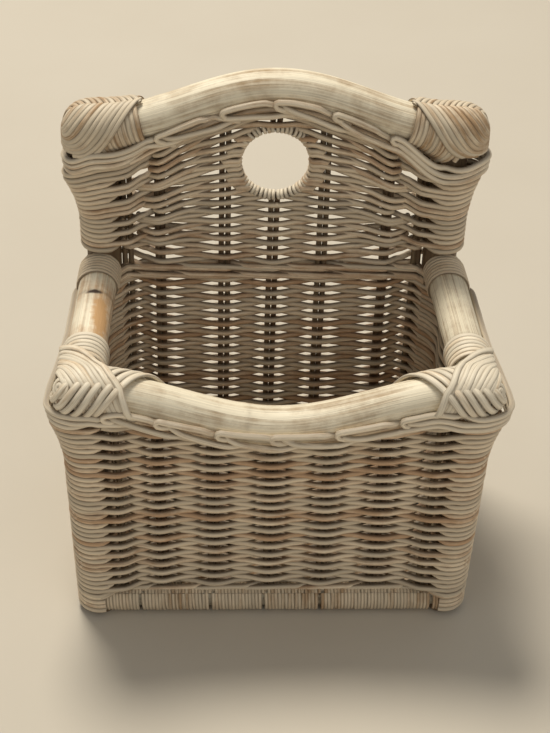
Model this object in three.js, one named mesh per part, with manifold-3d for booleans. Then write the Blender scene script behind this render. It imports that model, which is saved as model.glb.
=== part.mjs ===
// A magazine basket of rattan poles and round reed, in millimetres, +Z up, its front towards -Y.
// Posts and rails of pole carry woven walls; cane binds the joints, the hand hole and the foot rails.
import * as THREE from 'three';
import { mergeVertices } from 'three/addons/utils/BufferGeometryUtils.js';
import Module from 'manifold-3d';

// The pole frame
const poleDiameter = 26;
const postDiameter = 24;
const frameDepth = 147;
const backSpan = 237;
const frontFootSpan = 240;
const frontRailSpan = 251;
const armHeight = 190;
const frontRailDip = 28;
const backRailHeight = 300;
const backRailArch = 29;
const railReach = 16;
const armOutset = 2;
const armStart = 5;
const armEndSetback = 4;

// The foot rails, with the cane wound round them
const footRailDiameter = 16;
const footRailHeight = 10;
const footRailOutset = 2.5;
const footWrapThickness = 1.2;
const footWrapTurnGap = 0.6;

// Reed: the walls' stakes stand in pairs, and the weavers pass in front of and behind them
const reedDiameter = 4;
const weaverDiameter = 3.9;
const stakeOutset = 1.5;
const wallFoot = 3;
const wallRamp = 24;
const footRowsInboard = 4;
const rowsBelowArms = 19;
const rowsBelowBackRail = 23;
const rowSwell = 8;
const rowShoulder = 6;
const rowWaist = 3;
const frontSwellHeight = 38;
const backSwellHeight = 45;

// The rolled borders under the rails
const borderDiameter = 6.6;
const frontBorderTilt = 0.75;
const backBorderTilt = 1.05;
const sideBorderTilt = 0.5;
const frontBorderCornerDrop = 16.5;
const backBorderCornerDrop = 21.6;
const borderTipReach = 22;
const borderFirstAngle = -0.45;
const borderLastAngle = 1.7;

// The cane bindings
const bindingThickness = 4.2;
const bindingInboard = 28;
const bindingAlongArm = 27;
const bindingDomeBack = 9;
const coilStrandDiameter = 3.9;
const coilPitch = 4.5;

// The hand hole
const handHoleDiameter = 45.5;
const handHoleDrop = 57;
const hoopDiameter = 3.2;
const hoopStrandDiameter = 1.8;

// The nails in the corner joints
const nailDiameter = 2.4;
const nailHeadDiameter = 5;
const nailHeadHeight = 1.4;
const nailLength = 38;
const nailTipLength = 3;

// Where the stakes stand, as shares of their reach from the middle of a wall
const frontStakeShares = [-1, -0.72, -0.39, -0.03, 0.32, 0.66, 1];
const backStakeShares = [-1, -0.775, -0.334, 0, 0.334, 0.775, 1];

// Fits
const clearance = 0.3;
const overrun = 5;

// Counts
const sideStakeCount = 2;
const floorStakeCount = 4;
const armCoilTurns = 6;
const footWrapTurns = 24;
const hoopTurns = 24;
const railSteps = 22;
const borderPoints = 13;
const borderCornerPoints = 7;
const borderSteps = 48;
const borderSides = 6;
const poleSides = 16;
const nailSides = 8;
const reedArcSteps = 4;
const seamArcSteps = 3;
const wrapArcSteps = 8;
const swellStoreys = 6;
const bindingSteps = 6;

// Sizes worked out from the ones above
const poleRadius = poleDiameter / 2;
const postRadius = postDiameter / 2;
const postX = backSpan / 2;
const postY = frameDepth / 2;
const armX = postX + armOutset;
const footRailRadius = footRailDiameter / 2;
const footWrapRadius = footRailRadius + 2 * clearance + footWrapThickness;
const footRailY = postY + footRailOutset;
const footRailX = postX + footRailOutset;
const stakeWidth = reedDiameter * 2;
const wallHalf = reedDiameter / 2 + weaverDiameter;
const waistHalf = weaverDiameter / 2 + clearance;
const wallOuter = stakeOutset + wallHalf;
const wallInner = wallHalf - stakeOutset;
const sleeveRadius = postRadius + clearance + weaverDiameter;
const bindingRadius = poleRadius + clearance + bindingThickness;
const stakeFoot = footRailHeight + footWrapRadius + clearance;
const borderRadius = borderDiameter / 2;
const borderCornerFront = postRadius + borderRadius + 3 * clearance;
const coilRadius = poleRadius + clearance + coilStrandDiameter / 2;
const hoopWindingRadius = hoopDiameter / 2 + clearance + hoopStrandDiameter / 2;
const hoopRadius = handHoleDiameter / 2 + hoopStrandDiameter / 2 + hoopWindingRadius;
const handHoleHeight = backRailHeight + backRailArch - handHoleDrop;
const cornerRowsTop = armHeight - rowsBelowArms;
const upperRowsFoot = armHeight + coilRadius + coilStrandDiameter / 2 + clearance;
const upperRowsTop = backRailHeight - rowsBelowBackRail;
const hoopOuterRadius = hoopRadius + hoopWindingRadius + hoopStrandDiameter / 2;
const floorHalf = wallHalf;

const wasm = await Module();
wasm.setup();

// Solids and geometries

function solidOf(geometry) {
  const bare = geometry.clone();
  bare.deleteAttribute('normal');
  bare.deleteAttribute('uv');
  const welded = mergeVertices(bare);
  return new wasm.Manifold(new wasm.Mesh({
    numProp: 3,
    vertProperties: new Float32Array(welded.attributes.position.array),
    triVerts: new Uint32Array(welded.index.array),
  }));
}

function geometryOf(solid) {
  const mesh = solid.getMesh();
  const geometry = new THREE.BufferGeometry();
  geometry.setAttribute('position', new THREE.BufferAttribute(new Float32Array(mesh.vertProperties), 3));
  geometry.setIndex(new THREE.BufferAttribute(new Uint32Array(mesh.triVerts), 1));
  return geometry;
}

function without(solid, ...cutters) {
  return cutters.reduce((rest, cutter) => rest.subtract(cutter), solid);
}

function joined(...solids) {
  return solids.reduce((sum, solid) => sum.add(solid));
}

function roundShape(radius, sides) {
  const points = [];
  for (let i = 0; i < sides; i += 1) {
    const angle = (2 * Math.PI * (i + 0.5)) / sides;
    points.push(new THREE.Vector2(radius * Math.cos(angle), radius * Math.sin(angle)));
  }
  return new THREE.Shape(points);
}

function pairShape(extra) {
  const radius = reedDiameter / 2 + extra;
  const offset = stakeWidth / 2 - reedDiameter / 2;
  const points = [];
  for (let i = 0; i <= reedArcSteps; i += 1) {
    const angle = -Math.PI / 2 + (Math.PI * i) / reedArcSteps;
    points.push(new THREE.Vector2(offset + radius * Math.cos(angle), radius * Math.sin(angle)));
  }
  for (let i = 0; i <= reedArcSteps; i += 1) {
    const angle = Math.PI / 2 + (Math.PI * i) / reedArcSteps;
    points.push(new THREE.Vector2(-offset + radius * Math.cos(angle), radius * Math.sin(angle)));
  }
  return new THREE.Shape(points);
}

function tubeAlong(curve, shape, steps) {
  return solidOf(new THREE.ExtrudeGeometry(shape, { extrudePath: curve, steps, bevelEnabled: false }));
}

function rod(from, to, radius, sides) {
  return tubeAlong(new THREE.LineCurve3(from, to), roundShape(radius, sides), 1);
}

// An upright prism on a plan outline, in as many storeys as it needs to bend
function prism(shape, from, to, storeys = 1) {
  const geometry = new THREE.ExtrudeGeometry(shape, { depth: to - from, steps: storeys, bevelEnabled: false });
  geometry.translate(0, 0, from);
  return geometry;
}

// The rails' curve: level at the posts, and swinging up or down by a cosine between them
function railHeight(x, height, swing) {
  const along = Math.min(Math.abs(x) / postX, 1);
  return height + (swing * (1 + Math.cos(Math.PI * along))) / 2;
}

// How much longer a rail's slope is than its level run
function railStretch(x, swing) {
  const along = Math.min(Math.abs(x) / postX, 1);
  const slope = ((swing * Math.PI) / (2 * postX)) * Math.sin(Math.PI * along);
  return Math.hypot(1, slope);
}

class RailCurve extends THREE.Curve {
  constructor(fromX, toX, y, height, swing) {
    super();
    Object.assign(this, { fromX, toX, y, height, swing });
  }

  getPoint(share, target = new THREE.Vector3()) {
    const x = THREE.MathUtils.lerp(this.fromX, this.toX, share);
    return target.set(x, this.y, railHeight(x, this.height, this.swing));
  }
}

const frontRailPlace = {
  y: -postY,
  height: armHeight,
  swing: -frontRailDip,
  borderTilt: frontBorderTilt,
  borderCornerDrop: frontBorderCornerDrop,
};
const backRailPlace = {
  y: postY,
  height: backRailHeight,
  swing: backRailArch,
  borderTilt: backBorderTilt,
  borderCornerDrop: backBorderCornerDrop,
};

function topRail(place, extra) {
  const end = postX + railReach + extra;
  const curve = new RailCurve(-end, end, place.y, place.height, place.swing);
  return tubeAlong(curve, roundShape(poleRadius + extra, poleSides), railSteps);
}

function post(side, place, extra) {
  const foot = new THREE.Vector3(side * postX, place.y, 0);
  const top = new THREE.Vector3(side * postX, place.y, place.height);
  return rod(foot, top, postRadius + extra, poleSides);
}

function postCutters() {
  const cutters = [];
  for (const side of [-1, 1]) {
    for (const place of [frontRailPlace, backRailPlace]) {
      cutters.push(post(side, place, clearance));
    }
  }
  return joined(...cutters);
}

function armRod(side, extra) {
  const front = new THREE.Vector3(side * armX, armStart - postY - extra, armHeight);
  const back = new THREE.Vector3(side * armX, postY - armEndSetback + extra, armHeight);
  return rod(front, back, poleRadius + extra, poleSides);
}

function sideFootRail(side, radius) {
  const front = new THREE.Vector3(side * footRailX, -postY, footRailHeight);
  const back = new THREE.Vector3(side * footRailX, postY, footRailHeight);
  return rod(front, back, radius, poleSides);
}

function endFootRail(side, radius) {
  const left = new THREE.Vector3(-postX, side * footRailY, footRailHeight);
  const right = new THREE.Vector3(postX, side * footRailY, footRailHeight);
  return rod(left, right, radius, poleSides);
}

// The space of the foot rails: only the rows round the posts reach down past it
function footRailSpace() {
  const longX = 2 * (postX - footRowsInboard);
  const longY = 2 * (postY - footRowsInboard);
  const across = 2 * (wallRamp + sleeveRadius);
  const endSpace = new THREE.BoxGeometry(longX, frameDepth + across, 2 * stakeFoot);
  const sideSpace = new THREE.BoxGeometry(backSpan + across, longY, 2 * stakeFoot);
  const radius = footWrapRadius + clearance;
  return joined(
    solidOf(endSpace),
    solidOf(sideSpace),
    ...[-1, 1].flatMap((side) => [sideFootRail(side, radius), endFootRail(side, radius)]),
  );
}

// Nails, driven down through a top rail into its post

function nailSolid(side, place, extra) {
  const top = place.height + poleRadius - clearance;
  const shank = nailDiameter / 2 + extra;
  const head = nailHeadDiameter / 2 + extra;
  const rise = extra > 0 ? overrun : 0;
  const profile = [
    new THREE.Vector2(0, -nailLength - extra),
    new THREE.Vector2(shank, nailTipLength - nailLength),
    new THREE.Vector2(shank, -nailHeadHeight - extra),
    new THREE.Vector2(head, -nailHeadHeight - extra),
    new THREE.Vector2(head, rise),
    new THREE.Vector2(0, rise),
  ];
  const geometry = new THREE.LatheGeometry(profile, nailSides);
  geometry.rotateX(Math.PI / 2);
  geometry.translate(side * postX, place.y, top);
  return solidOf(geometry);
}

function nailHoles(place) {
  return joined(nailSolid(-1, place, clearance), nailSolid(1, place, clearance));
}

// Corner bindings: a skin of cane over the rail's end, and over the arm at the front

function bindingEnvelope(side, place, extra) {
  const radius = bindingRadius + extra;
  const inboard = postX - bindingInboard - extra;
  const domeX = postX + railReach - bindingDomeBack;
  const curve = new RailCurve(side * inboard, side * domeX, place.y, place.height, place.swing);
  const sleeve = tubeAlong(curve, roundShape(radius, poleSides), bindingSteps);
  const dome = new THREE.SphereGeometry(radius, poleSides, poleSides / 2);
  dome.rotateZ(Math.PI / 2);
  dome.rotateX(Math.PI / poleSides);
  dome.translate(side * domeX, place.y, place.height);
  const cap = joined(sleeve, solidOf(dome));
  if (place === backRailPlace) return cap;
  const reach = poleRadius + bindingAlongArm + extra - postY;
  const from = new THREE.Vector3(side * armX, -postY, armHeight);
  const to = new THREE.Vector3(side * armX, reach, armHeight);
  return joined(cap, rod(from, to, radius, poleSides));
}

function bindingCutters(place) {
  return joined(bindingEnvelope(-1, place, clearance), bindingEnvelope(1, place, clearance));
}

function cornerBinding(side, place) {
  const inside = joined(
    topRail(place, clearance),
    post(side, place, clearance),
    armRod(side, clearance),
  );
  return without(bindingEnvelope(side, place, 0), inside);
}

// Stakes: pairs of reed, set between the posts in even steps

function evenSteps(count, from, to) {
  return Array.from({ length: count }, (_, i) => THREE.MathUtils.lerp(from, to, i / (count - 1)));
}

function evenPlaces(count, reach) {
  return evenSteps(count, -reach, reach);
}

const wallStakeReach = postX - postRadius - clearance - stakeWidth / 2 - clearance;
const frontStakePlaces = frontStakeShares.map((share) => share * wallStakeReach);
const backStakePlaces = backStakeShares.map((share) => share * wallStakeReach);
const sideStakeReach = (postY - postRadius - wallRamp) / 2;
const sideStakePlaces = evenPlaces(sideStakeCount, sideStakeReach);
const floorReachX = footRailX - footWrapRadius - clearance;
const floorReachY = footRailY - footWrapRadius - clearance;
const floorStakePlaces = evenPlaces(floorStakeCount, floorReachX * (1 - 1 / floorStakeCount));

function frontBackStake(x, place, extra) {
  const y = Math.sign(place.y) * (postY + stakeOutset);
  const geometry = prism(pairShape(extra), stakeFoot - extra, railHeight(x, place.height, place.swing));
  geometry.translate(x, y, 0);
  return solidOf(geometry);
}

function sideStake(side, y, extra) {
  const geometry = prism(pairShape(extra), stakeFoot - extra, armHeight);
  geometry.rotateZ(Math.PI / 2);
  geometry.translate(side * (postX + stakeOutset), y, 0);
  return solidOf(geometry);
}

function floorStake(x, extra) {
  const geometry = prism(pairShape(extra), -floorReachY - extra, floorReachY + extra);
  geometry.rotateX(Math.PI / 2);
  geometry.translate(x, 0, footRailHeight);
  return solidOf(geometry);
}

// The rolled borders

// A point of a border beside a rail or an arm, at a tilt below the level
function besidePole(distance, tilt) {
  return { out: distance * Math.cos(tilt), down: distance * Math.sin(tilt) };
}

function railBorderRoute(place) {
  const points = [];
  const cornerZ = place.height - place.borderCornerDrop;
  const cornerY = (angle) => place.y - borderCornerFront * Math.cos(angle);
  const cornerX = (angle) => postX + borderTipReach * Math.sin(angle);
  const turn = evenSteps(borderCornerPoints, borderLastAngle, borderFirstAngle);
  for (const angle of turn) points.push(new THREE.Vector3(-cornerX(angle), cornerY(angle), cornerZ));
  const near = postX - bindingInboard - 5 * borderDiameter;
  const { out, down } = besidePole(poleRadius + clearance + borderRadius, place.borderTilt);
  for (const x of evenPlaces(borderPoints, near)) {
    const z = railHeight(x, place.height, place.swing) - down * railStretch(x, place.swing);
    points.push(new THREE.Vector3(x, place.y - out, z));
  }
  for (const angle of turn.reverse()) {
    points.push(new THREE.Vector3(cornerX(angle), cornerY(angle), cornerZ));
  }
  return new THREE.CatmullRomCurve3(points);
}

function railBorder(place, extra) {
  const route = railBorderRoute(place);
  return tubeAlong(route, roundShape(borderRadius + extra, borderSides), borderSteps);
}

function armBorder(side, extra) {
  const { out, down } = besidePole(poleRadius + clearance + borderRadius, sideBorderTilt);
  const x = side * (armX + out);
  const front = poleRadius + bindingAlongArm + 2 * clearance - postY - extra;
  const back = coilStart() - clearance + extra;
  const z = armHeight - down;
  const from = new THREE.Vector3(x, front, z);
  return rod(from, new THREE.Vector3(x, back, z), borderRadius + extra, borderSides);
}

// Walls: plan outlines in a wall's own frame, along it from post to post and outwards from the axes

function sleeveArc(centre, fromAngle, toAngle, steps) {
  return evenSteps(steps + 1, fromAngle, toAngle)
    .map((angle) => [centre + sleeveRadius * Math.sin(angle), sleeveRadius * Math.cos(angle)]);
}

// A face of the rows over the stakes, as places along the wall and half thicknesses
// It is thick over each stake, and drawn in midway between two, where the rows cross
function rowFace(stakes) {
  const face = [];
  for (const [i, far] of stakes.slice(1).entries()) {
    const middle = (stakes[i] + far) / 2;
    face.push([stakes[i] + rowShoulder, wallHalf], [middle - rowWaist, waistHalf]);
    face.push([middle + rowWaist, waistHalf], [far - rowShoulder, wallHalf]);
  }
  return face;
}

const outerFace = (face) => face.map(([along, half]) => [along, stakeOutset + half]);
const innerFace = (face) => face.map(([along, half]) => [along, stakeOutset - half]).reverse();

function sideOutline() {
  const seam = Math.PI / 4 - clearance / sleeveRadius;
  const face = rowFace(sideStakePlaces.map((y) => y + postY));
  return [
    [0, 0],
    ...sleeveArc(0, -seam, 0, seamArcSteps),
    [wallRamp, wallOuter],
    ...outerFace(face),
    [frameDepth - wallRamp, wallOuter],
    ...sleeveArc(frameDepth, 0, seam, seamArcSteps),
    [frameDepth, 0],
    [frameDepth, -wallInner],
    ...innerFace(face),
    [0, -wallInner],
  ];
}

// One end of a front or back wall, from the seam round its post to the first stake
function endOutline() {
  const seam = Math.PI / 4 - clearance / sleeveRadius;
  return [
    [0, 0],
    ...sleeveArc(0, -seam, 0, seamArcSteps),
    [wallRamp, wallOuter],
    [wallRamp, -wallInner],
    [0, -wallInner],
  ];
}

function wrappedEndOutline() {
  return [
    [wallRamp, -wallInner],
    ...sleeveArc(0, -Math.PI, 0, wrapArcSteps),
    [wallRamp, wallOuter],
  ];
}

function bothEnds(outline, place) {
  const farEnd = outline.map(([along, out]) => [backSpan - along, out]);
  return [placedShape(outline, place), placedShape(farEnd, place)];
}

// The sheet of a front or back wall between its posts
function sheetOutline(stakePlaces) {
  const face = [
    [postRadius / 2, wallHalf],
    ...rowFace(stakePlaces.map((x) => x + postX)),
    [backSpan - postRadius / 2, wallHalf],
  ];
  return [...outerFace(face), ...innerFace(face)];
}

function placedShape(outline, place) {
  return new THREE.Shape(outline.map(([along, out]) => new THREE.Vector2(...place(along, out))));
}

const frontPlace = (along, out) => [along - postX, -postY - out];
const backPlace = (along, out) => [along - postX, postY + out];
const sidePlace = (side) => (along, out) => [side * (postX + out), along - postY];

// How far the rows near a rail's level swell: fully along the front, and not at all at the back
const swellBelowArms = (y) => THREE.MathUtils.clamp((postY - y) / frameDepth, 0, 1);
const swellBelowBackRail = () => 1;

// The rows swell outwards near the top, past the ends of the rails
function swollen(geometry, from, to, swellShare) {
  const position = geometry.attributes.position;
  for (let i = 0; i < position.count; i += 1) {
    const x = position.getX(i);
    const rise = THREE.MathUtils.clamp((position.getZ(i) - from) / (to - from), 0, 1);
    const outwards = THREE.MathUtils.clamp((Math.abs(x) - postX + postRadius) / postDiameter, 0, 1);
    const swell = rowSwell * rise * rise * outwards * swellShare(position.getY(i));
    position.setX(i, x + Math.sign(x) * swell);
  }
  return geometry;
}

// A wall's rows: straight up to where they swell, then in storeys
function rows(shape, from, swellHeight, to, swellShare) {
  const bend = to - swellHeight;
  const top = swollen(prism(shape, bend, to, swellStoreys), bend, to, swellShare);
  return joined(solidOf(prism(shape, from, bend)), solidOf(top));
}

function elevation(points, y, depth) {
  const shape = new THREE.Shape(points.map(([x, z]) => new THREE.Vector2(x, z)));
  const geometry = new THREE.ExtrudeGeometry(shape, { depth, bevelEnabled: false });
  geometry.rotateX(Math.PI / 2);
  geometry.translate(0, y + depth / 2, 0);
  return solidOf(geometry);
}

// Points along a rail's axis, in elevation
function railLine(place, reach) {
  return evenPlaces(railSteps, reach).map((x) => [x, railHeight(x, place.height, place.swing)]);
}

// All the space above a rail's axis, so that a wall ends under its rail
function aboveRail(place) {
  const reach = postX + wallRamp + rowSwell;
  const top = place.height + poleDiameter + overrun;
  return elevation([[reach, top], [-reach, top], ...railLine(place, reach)], place.y, 2 * wallRamp);
}

// The part of a wall between the posts, up to the axis of its rail
function betweenPosts(place, stakePlaces, wallPlace) {
  const shape = placedShape(sheetOutline(stakePlaces), wallPlace);
  const top = Math.max(place.height, place.height + place.swing);
  return without(solidOf(prism(shape, stakeFoot, top)), aboveRail(place));
}

function frontWall() {
  const ends = bothEnds(endOutline(), frontPlace)
    .map((shape) => rows(shape, wallFoot, frontSwellHeight, cornerRowsTop, swellBelowArms));
  const channels = frontStakePlaces.map((x) => frontBackStake(x, frontRailPlace, clearance));
  return without(
    joined(...ends, betweenPosts(frontRailPlace, frontStakePlaces, frontPlace)),
    aboveRail(frontRailPlace),
    topRail(frontRailPlace, clearance),
    postCutters(),
    footRailSpace(),
    bindingCutters(frontRailPlace),
    railBorder(frontRailPlace, clearance),
    ...channels,
  );
}

function handHole() {
  const from = new THREE.Vector3(0, postY - wallRamp, handHoleHeight);
  const to = new THREE.Vector3(0, postY + wallRamp, handHoleHeight);
  return rod(from, to, hoopOuterRadius + clearance, 2 * poleSides);
}

function backWall() {
  const lowerEnds = bothEnds(endOutline(), backPlace)
    .map((shape) => solidOf(prism(shape, wallFoot, upperRowsFoot)));
  const upperEnds = bothEnds(wrappedEndOutline(), backPlace)
    .map((shape) => rows(shape, upperRowsFoot, backSwellHeight, upperRowsTop, swellBelowBackRail));
  const channels = backStakePlaces.map((x) => frontBackStake(x, backRailPlace, clearance));
  return without(
    joined(...lowerEnds, ...upperEnds, betweenPosts(backRailPlace, backStakePlaces, backPlace)),
    topRail(backRailPlace, clearance),
    postCutters(),
    footRailSpace(),
    bindingCutters(backRailPlace),
    railBorder(backRailPlace, clearance),
    armRod(-1, clearance),
    armRod(1, clearance),
    handHole(),
    ...channels,
  );
}

function sideWall(side) {
  const shape = placedShape(sideOutline(), sidePlace(side));
  const corners = rows(shape, wallFoot, frontSwellHeight, cornerRowsTop, swellBelowArms);
  const slab = new THREE.BoxGeometry(2 * wallHalf, frameDepth, armHeight - stakeFoot);
  slab.translate(side * (postX + stakeOutset), 0, (armHeight + stakeFoot) / 2);
  const channels = sideStakePlaces.map((y) => sideStake(side, y, clearance));
  return without(
    joined(corners, solidOf(slab)),
    armRod(side, clearance),
    postCutters(),
    footRailSpace(),
    bindingEnvelope(side, frontRailPlace, clearance),
    armBorder(side, clearance),
    coilEnvelope(side),
    railBorder(frontRailPlace, clearance),
    ...channels,
  );
}

function floorPanel() {
  const slab = new THREE.BoxGeometry(2 * floorReachX, 2 * floorReachY, 2 * floorHalf);
  slab.translate(0, 0, footRailHeight);
  const channels = floorStakePlaces.map((x) => floorStake(x, clearance));
  return without(solidOf(slab), postCutters(), ...channels);
}

// Windings: one unbroken strand each, from rings of points round its path

function strand(rings) {
  const sides = rings[0].length;
  const points = rings.flat();
  const faces = [];
  for (let ring = 0; ring < rings.length - 1; ring += 1) {
    for (let i = 0; i < sides; i += 1) {
      const a = ring * sides + i;
      const b = ring * sides + ((i + 1) % sides);
      faces.push(a, b, b + sides, a, b + sides, a + sides);
    }
  }
  const last = (rings.length - 1) * sides;
  for (let i = 1; i < sides - 1; i += 1) {
    faces.push(0, i + 1, i, last, last + i, last + i + 1);
  }
  const geometry = new THREE.BufferGeometry().setFromPoints(points);
  geometry.setIndex(faces);
  return geometry;
}

// The least gap between one turn and the next, over all the points of both
function leastGap(rings, stepsInTurn) {
  let least = Infinity;
  for (let i = 0; i < rings.length; i += 1) {
    for (let j = i + Math.floor(stepsInTurn / 2); j < rings.length; j += 1) {
      for (const a of rings[i]) {
        for (const b of rings[j]) least = Math.min(least, a.distanceTo(b));
      }
    }
  }
  return least;
}

function ringsAlong(path, outward, section, steps) {
  const rings = [];
  const tangentStep = 1 / (steps * steps);
  for (let i = 0; i <= steps; i += 1) {
    const share = i / steps;
    const centre = path(share);
    const tangent = path(share + tangentStep).sub(path(share - tangentStep)).normalize();
    const up = outward(share);
    const across = new THREE.Vector3().crossVectors(tangent, up).normalize();
    rings.push(section.map(([u, v]) => centre.clone().addScaledVector(up, u).addScaledVector(across, v)));
    if (i === 0) rings.unshift(shifted(rings[0], tangent, -1, section));
    if (i === steps) rings.push(shifted(rings[rings.length - 1], tangent, 1, section));
  }
  return rings;
}

// The straight end of a strand, as long as the strand is thick
function shifted(ring, tangent, direction, section) {
  const thickness = 2 * Math.max(...section.map(([u]) => u));
  return ring.map((point) => point.clone().addScaledVector(tangent, direction * thickness));
}

function roundSection(radius, sides) {
  return roundShape(radius, sides).getPoints().slice(0, sides).map((point) => [point.x, point.y]);
}

function coilStart() {
  return postY - postRadius - armCoilTurns * coilPitch - coilStrandDiameter - clearance;
}

function coilEnvelope(side) {
  const radius = coilRadius + coilStrandDiameter / 2 + clearance;
  const from = new THREE.Vector3(side * armX, coilStart() - clearance, armHeight);
  const to = new THREE.Vector3(side * armX, postY - postRadius / 2, armHeight);
  return rod(from, to, radius, poleSides);
}

// The coil that binds an arm's end at the back post
function armCoil(side) {
  const stepsInTurn = 14;
  const first = coilStart() + coilStrandDiameter / 2 + clearance;
  const angle = (share) => side * 2 * Math.PI * armCoilTurns * share - Math.PI / 2;
  const outward = (share) => new THREE.Vector3(Math.cos(angle(share)), 0, Math.sin(angle(share)));
  const path = (share) => outward(share).multiplyScalar(coilRadius)
    .add(new THREE.Vector3(side * armX, first + coilPitch * armCoilTurns * share, armHeight));
  const section = roundSection(coilStrandDiameter / 2, 5);
  const rings = ringsAlong(path, outward, section, armCoilTurns * stepsInTurn);
  console.log(`arm coil, least gap ${leastGap(rings, stepsInTurn).toFixed(2)} mm`);
  return strand(rings);
}

// The cane wound round the front foot rail: each turn stands for a few strands laid side by side
function frontFootWrap() {
  const stepsInTurn = 10;
  const reach = postX - postRadius - 2 * clearance;
  const pitch = (2 * reach) / (footWrapTurns + 1);
  const radius = footWrapRadius - footWrapThickness / 2;
  const angle = (share) => 2 * Math.PI * footWrapTurns * share;
  const outward = (share) => new THREE.Vector3(0, Math.cos(angle(share)), Math.sin(angle(share)));
  const path = (share) => outward(share).multiplyScalar(radius)
    .add(new THREE.Vector3(pitch * footWrapTurns * (share - 0.5), -footRailY, footRailHeight));
  const thick = footWrapThickness / 2;
  const wide = (pitch - footWrapTurnGap) / 2;
  const section = [[thick, -wide], [thick, wide], [-thick, wide], [-thick, -wide]];
  const rings = ringsAlong(path, outward, section, footWrapTurns * stepsInTurn);
  console.log(`front foot wrap, least gap ${leastGap(rings, stepsInTurn).toFixed(2)} mm`);
  return strand(rings);
}

// The strand wound round the hoop of the hand hole
function hoopBinding() {
  const stepsInTurn = 8;
  const ends = hoopStrandDiameter * 2 / hoopRadius;
  const around = (share) => -Math.PI / 2 + ends + (2 * Math.PI - 2 * ends) * share;
  const turn = (share) => 2 * Math.PI * hoopTurns * share;
  const radial = (share) => new THREE.Vector3(Math.cos(around(share)), 0, Math.sin(around(share)));
  const outward = (share) => radial(share).multiplyScalar(Math.cos(turn(share)))
    .add(new THREE.Vector3(0, Math.sin(turn(share)), 0));
  const path = (share) => radial(share).multiplyScalar(hoopRadius)
    .addScaledVector(outward(share), hoopWindingRadius)
    .add(new THREE.Vector3(0, postY + stakeOutset, handHoleHeight));
  const section = roundSection(hoopStrandDiameter / 2, 4);
  const rings = ringsAlong(path, outward, section, hoopTurns * stepsInTurn);
  console.log(`hand hole binding, least gap ${leastGap(rings, stepsInTurn).toFixed(2)} mm`);
  return strand(rings);
}

function hoop() {
  const geometry = new THREE.TorusGeometry(hoopRadius, hoopDiameter / 2, borderSides, 2 * poleSides);
  geometry.rotateX(Math.PI / 2);
  geometry.translate(0, postY + stakeOutset, handHoleHeight);
  return solidOf(geometry);
}

// A plain sleeve of cane round a foot rail
function footWrap(rail) {
  return without(rail(footWrapRadius), rail(footRailRadius + clearance), postCutters());
}

// The basket is drawn with upright sides, then flared: wider at the front, and widest at the front rail

function flared(geometry) {
  const position = geometry.attributes.position;
  const fixedX = postX - bindingInboard - overrun;
  for (let i = 0; i < position.count; i += 1) {
    const x = position.getX(i);
    const frontSpan = THREE.MathUtils.lerp(frontFootSpan, frontRailSpan, position.getZ(i) / armHeight);
    const frontShare = (postY - position.getY(i)) / frameDepth;
    const widening = ((frontSpan - backSpan) / 2) * frontShare;
    position.setX(i, x + widening * THREE.MathUtils.clamp(x / fixedX, -1, 1));
  }
  return geometry;
}

const poleWood = { color: 0xcbbda3, roughness: 0.62, metalness: 0 };
const reedWood = { color: 0xbfb09a, roughness: 0.7, metalness: 0 };
const stakeWood = { color: 0xa8987f, roughness: 0.75, metalness: 0 };
const caneBinding = { color: 0xc9bca6, roughness: 0.6, metalness: 0 };
const nailSteel = { color: 0x8d8f92, roughness: 0.4, metalness: 1 };

const basket = new THREE.Group();

function addPiece(name, shape, look) {
  const geometry = flared(shape.isBufferGeometry ? shape : geometryOf(shape));
  geometry.computeVertexNormals();
  const mesh = new THREE.Mesh(geometry, new THREE.MeshStandardMaterial(look));
  mesh.name = name;
  basket.add(mesh);
}

const sides = [['left', -1], ['right', 1]];
const places = [['front', frontRailPlace], ['back', backRailPlace]];

for (const [end, place] of places) {
  const rail = topRail(place, 0);
  addPiece(`${end}_top_rail`, without(rail, nailHoles(place)), poleWood);
  for (const [hand, side] of sides) {
    const rest = [topRail(place, clearance), nailSolid(side, place, clearance)];
    addPiece(`${end}_${hand}_post`, without(post(side, place, 0), ...rest), poleWood);
    addPiece(`${end}_${hand}_nail`, nailSolid(side, place, 0), nailSteel);
    addPiece(`${end}_${hand}_corner_binding`, cornerBinding(side, place), caneBinding);
  }
}

for (const [hand, side] of sides) {
  const arm = without(armRod(side, 0), topRail(frontRailPlace, clearance), postCutters());
  addPiece(`${hand}_arm_rail`, arm, poleWood);
  addPiece(`${hand}_arm_back_binding`, armCoil(side), caneBinding);
  addPiece(`${hand}_arm_border`, armBorder(side, 0), reedWood);
  addPiece(`${hand}_foot_rail`, without(sideFootRail(side, footRailRadius), postCutters()), poleWood);
  addPiece(`${hand}_foot_rail_wrap`, footWrap((radius) => sideFootRail(side, radius)), caneBinding);
  addPiece(`${hand}_woven_wall`, sideWall(side), reedWood);
  sideStakePlaces.forEach((y, i) => {
    const stake = without(sideStake(side, y, 0), armRod(side, clearance));
    addPiece(`${hand}_stake_pair_${i + 1}`, stake, stakeWood);
  });
}

addPiece('front_foot_rail', without(endFootRail(-1, footRailRadius), postCutters()), poleWood);
addPiece('back_foot_rail', without(endFootRail(1, footRailRadius), postCutters()), poleWood);
addPiece('front_foot_rail_wrap', frontFootWrap(), caneBinding);
addPiece('back_foot_rail_wrap', footWrap((radius) => endFootRail(1, radius)), caneBinding);
addPiece('front_border', railBorder(frontRailPlace, 0), reedWood);
addPiece('back_border', railBorder(backRailPlace, 0), reedWood);
addPiece('front_woven_wall', frontWall(), reedWood);
addPiece('back_woven_wall', backWall(), reedWood);
addPiece('floor_weave', floorPanel(), reedWood);

floorStakePlaces.forEach((x, i) => addPiece(`floor_stake_pair_${i + 1}`, floorStake(x, 0), stakeWood));

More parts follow.
